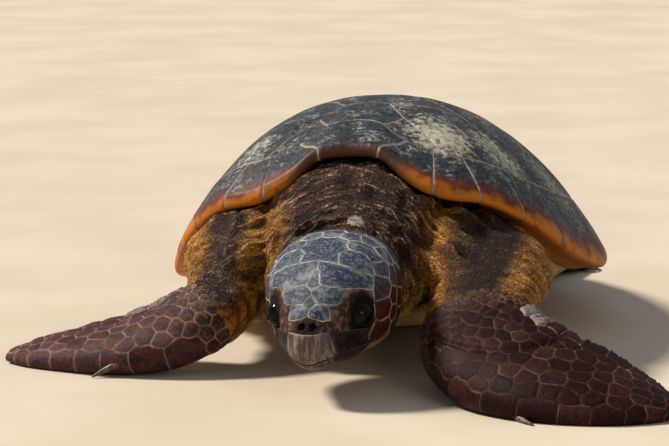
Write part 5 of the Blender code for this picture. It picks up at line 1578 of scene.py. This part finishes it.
WORN_TONE, WORN_HEIGHT, SCALE_HEIGHT, SMALL_LOWER, SCALLOP = -0.4, 0.0040, 0.0013, 0.0006, 0.0090
FRONT_PLAN = [(2.7, 0.0085, 0.0200), (3.2, 0.0130, 0.0250), (3.8, 0.0200, 0.0280), (4.6, 0.0270, 0.0290),
              (5.6, 0.0310, 0.0290), (6.4, 0.0270, 0.0240), (7.2, 0.0180, 0.0170), (7.8, 0.0120, 0.0120)]
HIND_PLAN = [(1.2, 0.0100, 0.0120), (3.0, 0.0180, 0.0200), (5.8, 0.0130, 0.0140)]
FRONT_EDGE, HIND_EDGE = (3.45, 0.044, 0.0300, 0.47), (2.6, 0.026, 0.0150, 2.0)
# scale tones vary at random within each side's range; the left side's darker range is painted shade, for the side
# away from the sun
for side, word, arm, front_start, seed, tone_range in ((1, "left", ARM_LEFT, 2.75, 11, (0.60, 1.0)),
                                                       (-1, "right", ARM_RIGHT, 3.15, 12, (0.20, 0.52))):
    for part, stations, start, plan, edge_row in (("front", arm, front_start, FRONT_PLAN, FRONT_EDGE),
                                                  ("hind", LEG, 1.8, HIND_PLAN, HIND_EDGE)):
        seeds, ids, tones, pales, trails, rings, centres = limb_seeds(
            stations, side, start, plan, edge_row, seed + len(part), tone_range)
        on_side = (points[tris][:, :, 0] * side > 0.06).all(axis=1)
        low, high = seeds.min(0) - 0.02, seeds.max(0) + 0.02
        close = ((points[tris] > low) & (points[tris] < high)).all(axis=(1, 2)) & on_side
        heights = np.where(tones < 0, WORN_HEIGHT, SCALE_HEIGHT) - SMALL_LOWER * np.clip(-pales, 0, 1)
        flare = scalloped(trails, rings, centres) if part == "front" else None
        scales = seat_plates(f"{part}_limb_scales_{word}", limb_horn, seeds, ids, heights, tones, close,
                             soft=0.006, rounding=0.0024, gap=0.0007, reach=0.034, pales=pales, flare=flare)

# ---------------------------------------------------------------- the claws
# One short claw stands on the leading edge of each flipper: a solid of smooth brown horn, curved a little
# and narrowing to a blunt tip, rooted in the skin.
def claw_finish():
    """Smooth brown horn, streaked lengthwise."""
    horn = Finish("claw_horn", Specular_IOR_Level=0.3)
    streaks = horn.cloud(1.0, 4.0, 0.6, horn.stretched(horn.place, (200.0, 200.0, 60.0)))
    return horn.finish(horn.over((0.045, 0.030, 0.020), (0.150, 0.110, 0.075), horn.ease(streaks, 0.4, 0.65)),
                       horn.ease(streaks, 0.3, 0.7, 0.35, 0.5), streaks, 0.0004)


claw_horn = claw_finish()
CLAW_RINGS, CLAW_ROUND = 14, 20
CLAW_HALF, CLAW_TIP, CLAW_BOW, CLAW_CLEAR = 0.0062, 0.0004, 0.0030, 0.0004
for word in ("left", "right"):
    for part, limb in (("front", "flipper"), ("hind", "hind_flipper")):
        node = f"claw_{part}_{word}"
        cad_claw, flipper = (mesh_points(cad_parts[n].data) for n in (node, f"{limb}_{word}"))
        away = np.linalg.norm(cad_claw[:, None] - flipper[None], axis=2).min(1)
        tip = cad_claw[away > away.max() - 0.0008].mean(0)
        root = cad_claw[np.argsort(np.linalg.norm(cad_claw - tip, axis=1))[-6:]].mean(0)
        root = root - (tip - root) * 0.35
        axis = tip - root
        bow = np.cross(axis, [0, 0, 1.0])
        bow /= np.linalg.norm(bow)
        other = np.cross(axis / np.linalg.norm(axis), bow)
        a = round_about(CLAW_ROUND)[:, None]
        rings = []
        for t in np.linspace(0, 1, CLAW_RINGS):
            radius = CLAW_HALF * (1 - t) ** 0.65 + CLAW_TIP
            centre = root + axis * t + bow * CLAW_BOW * math.sin(math.pi * t)
            centre[2] = max(centre[2], radius * 0.9 + CLAW_CLEAR)
            rings.append(centre + (np.cos(a) * bow + np.sin(a) * other) * radius)
        faces = tube_faces(CLAW_RINGS, CLAW_ROUND)
        claw = marked_mesh(f"horn_{node}", np.concatenate(rings), faces, claw_horn, {}, 0)
        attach(claw, "root")
        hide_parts(node)

# ---------------------------------------------------------------- floor, light and camera
# A plain pale floor under a soft bright sky, with one large warm light high on the animal's right that
# stands for the sun. The camera sits low in front of the turtle and a little to its left, with a long
# lens.
FLOOR_HALF, SKY_BLUE, SKY_STRENGTH = 30, (0.86, 0.92, 1.0, 1.0), 0.37
mesh = bpy.data.meshes.new("floor")
mesh.from_pydata([(x * FLOOR_HALF, y * FLOOR_HALF, 0) for x, y in ((-1, -1), (1, -1), (1, 1), (-1, 1))], [],
                 [(0, 1, 2, 3)])
floor = bpy.data.objects.new("floor", mesh)
bpy.context.scene.collection.objects.link(floor)
pale = Finish("pale_floor", Roughness=0.9, Specular_IOR_Level=0.2)
mesh.materials.append(pale.finish(pale.over((0.50, 0.42, 0.33), (0.55, 0.47, 0.38),
                                            pale.ease(pale.cloud(3.0, 3.0, 0.5), 0.3, 0.7))))
world = bpy.data.worlds.new("soft_sky")
bpy.context.scene.world = world
world.use_nodes = True
world.node_tree.nodes["Background"].inputs["Color"].default_value = SKY_BLUE
world.node_tree.nodes["Background"].inputs["Strength"].default_value = SKY_STRENGTH
bpy.context.scene.view_settings.view_transform = "Standard"


def add_light(name, kind, at, aim, size, power, colour):
    """A lamp turned to its aim; a sun's size is an angle, a disc's is its width."""
    data = bpy.data.lights.new(name, kind)
    data.energy, data.color = power, colour
    if kind == "AREA":
        data.shape, data.size = "DISK", size
    else:
        data.angle = size
    light = bpy.data.objects.new(name, data)
    bpy.context.scene.collection.objects.link(light)
    light.location = at
    light.rotation_euler = (Vector(aim) - Vector(at)).to_track_quat("-Z", "Y").to_euler()


add_light("sun", "SUN", (-8.3, 0.4, 8.6), (0.0, -0.1, 0.15), math.radians(10.0), 5.6, (1.0, 0.94, 0.84))
add_light("front_fill", "AREA", (2.4, -3.6, 1.6), (0.0, -0.3, 0.15), 1.6, 26.0, (1.0, 0.95, 0.88))

VIEW_AZIMUTH, VIEW_ELEVATION, VIEW_DISTANCE = math.radians(10.0), math.radians(7.5), 4.5
SENSOR_WIDTH, LENS_LENGTH, LENS_SHIFT = 36.0, 155.0, (-0.0277, -0.1151)
toward_camera = Vector((math.sin(VIEW_AZIMUTH) * math.cos(VIEW_ELEVATION),
                        -math.cos(VIEW_AZIMUTH) * math.cos(VIEW_ELEVATION), math.sin(VIEW_ELEVATION)))
aim = resting @ Vector((0.0, 0.036, 0.338))
optics = bpy.data.cameras.new("camera")
optics.sensor_width, optics.lens = SENSOR_WIDTH, LENS_LENGTH
optics.shift_x, optics.shift_y = LENS_SHIFT
camera = bpy.data.objects.new("camera", optics)
bpy.context.scene.collection.objects.link(camera)
camera.location = aim + toward_camera * VIEW_DISTANCE
camera.rotation_euler = (-toward_camera).to_track_quat("-Z", "Y").to_euler()
bpy.context.scene.camera = camera
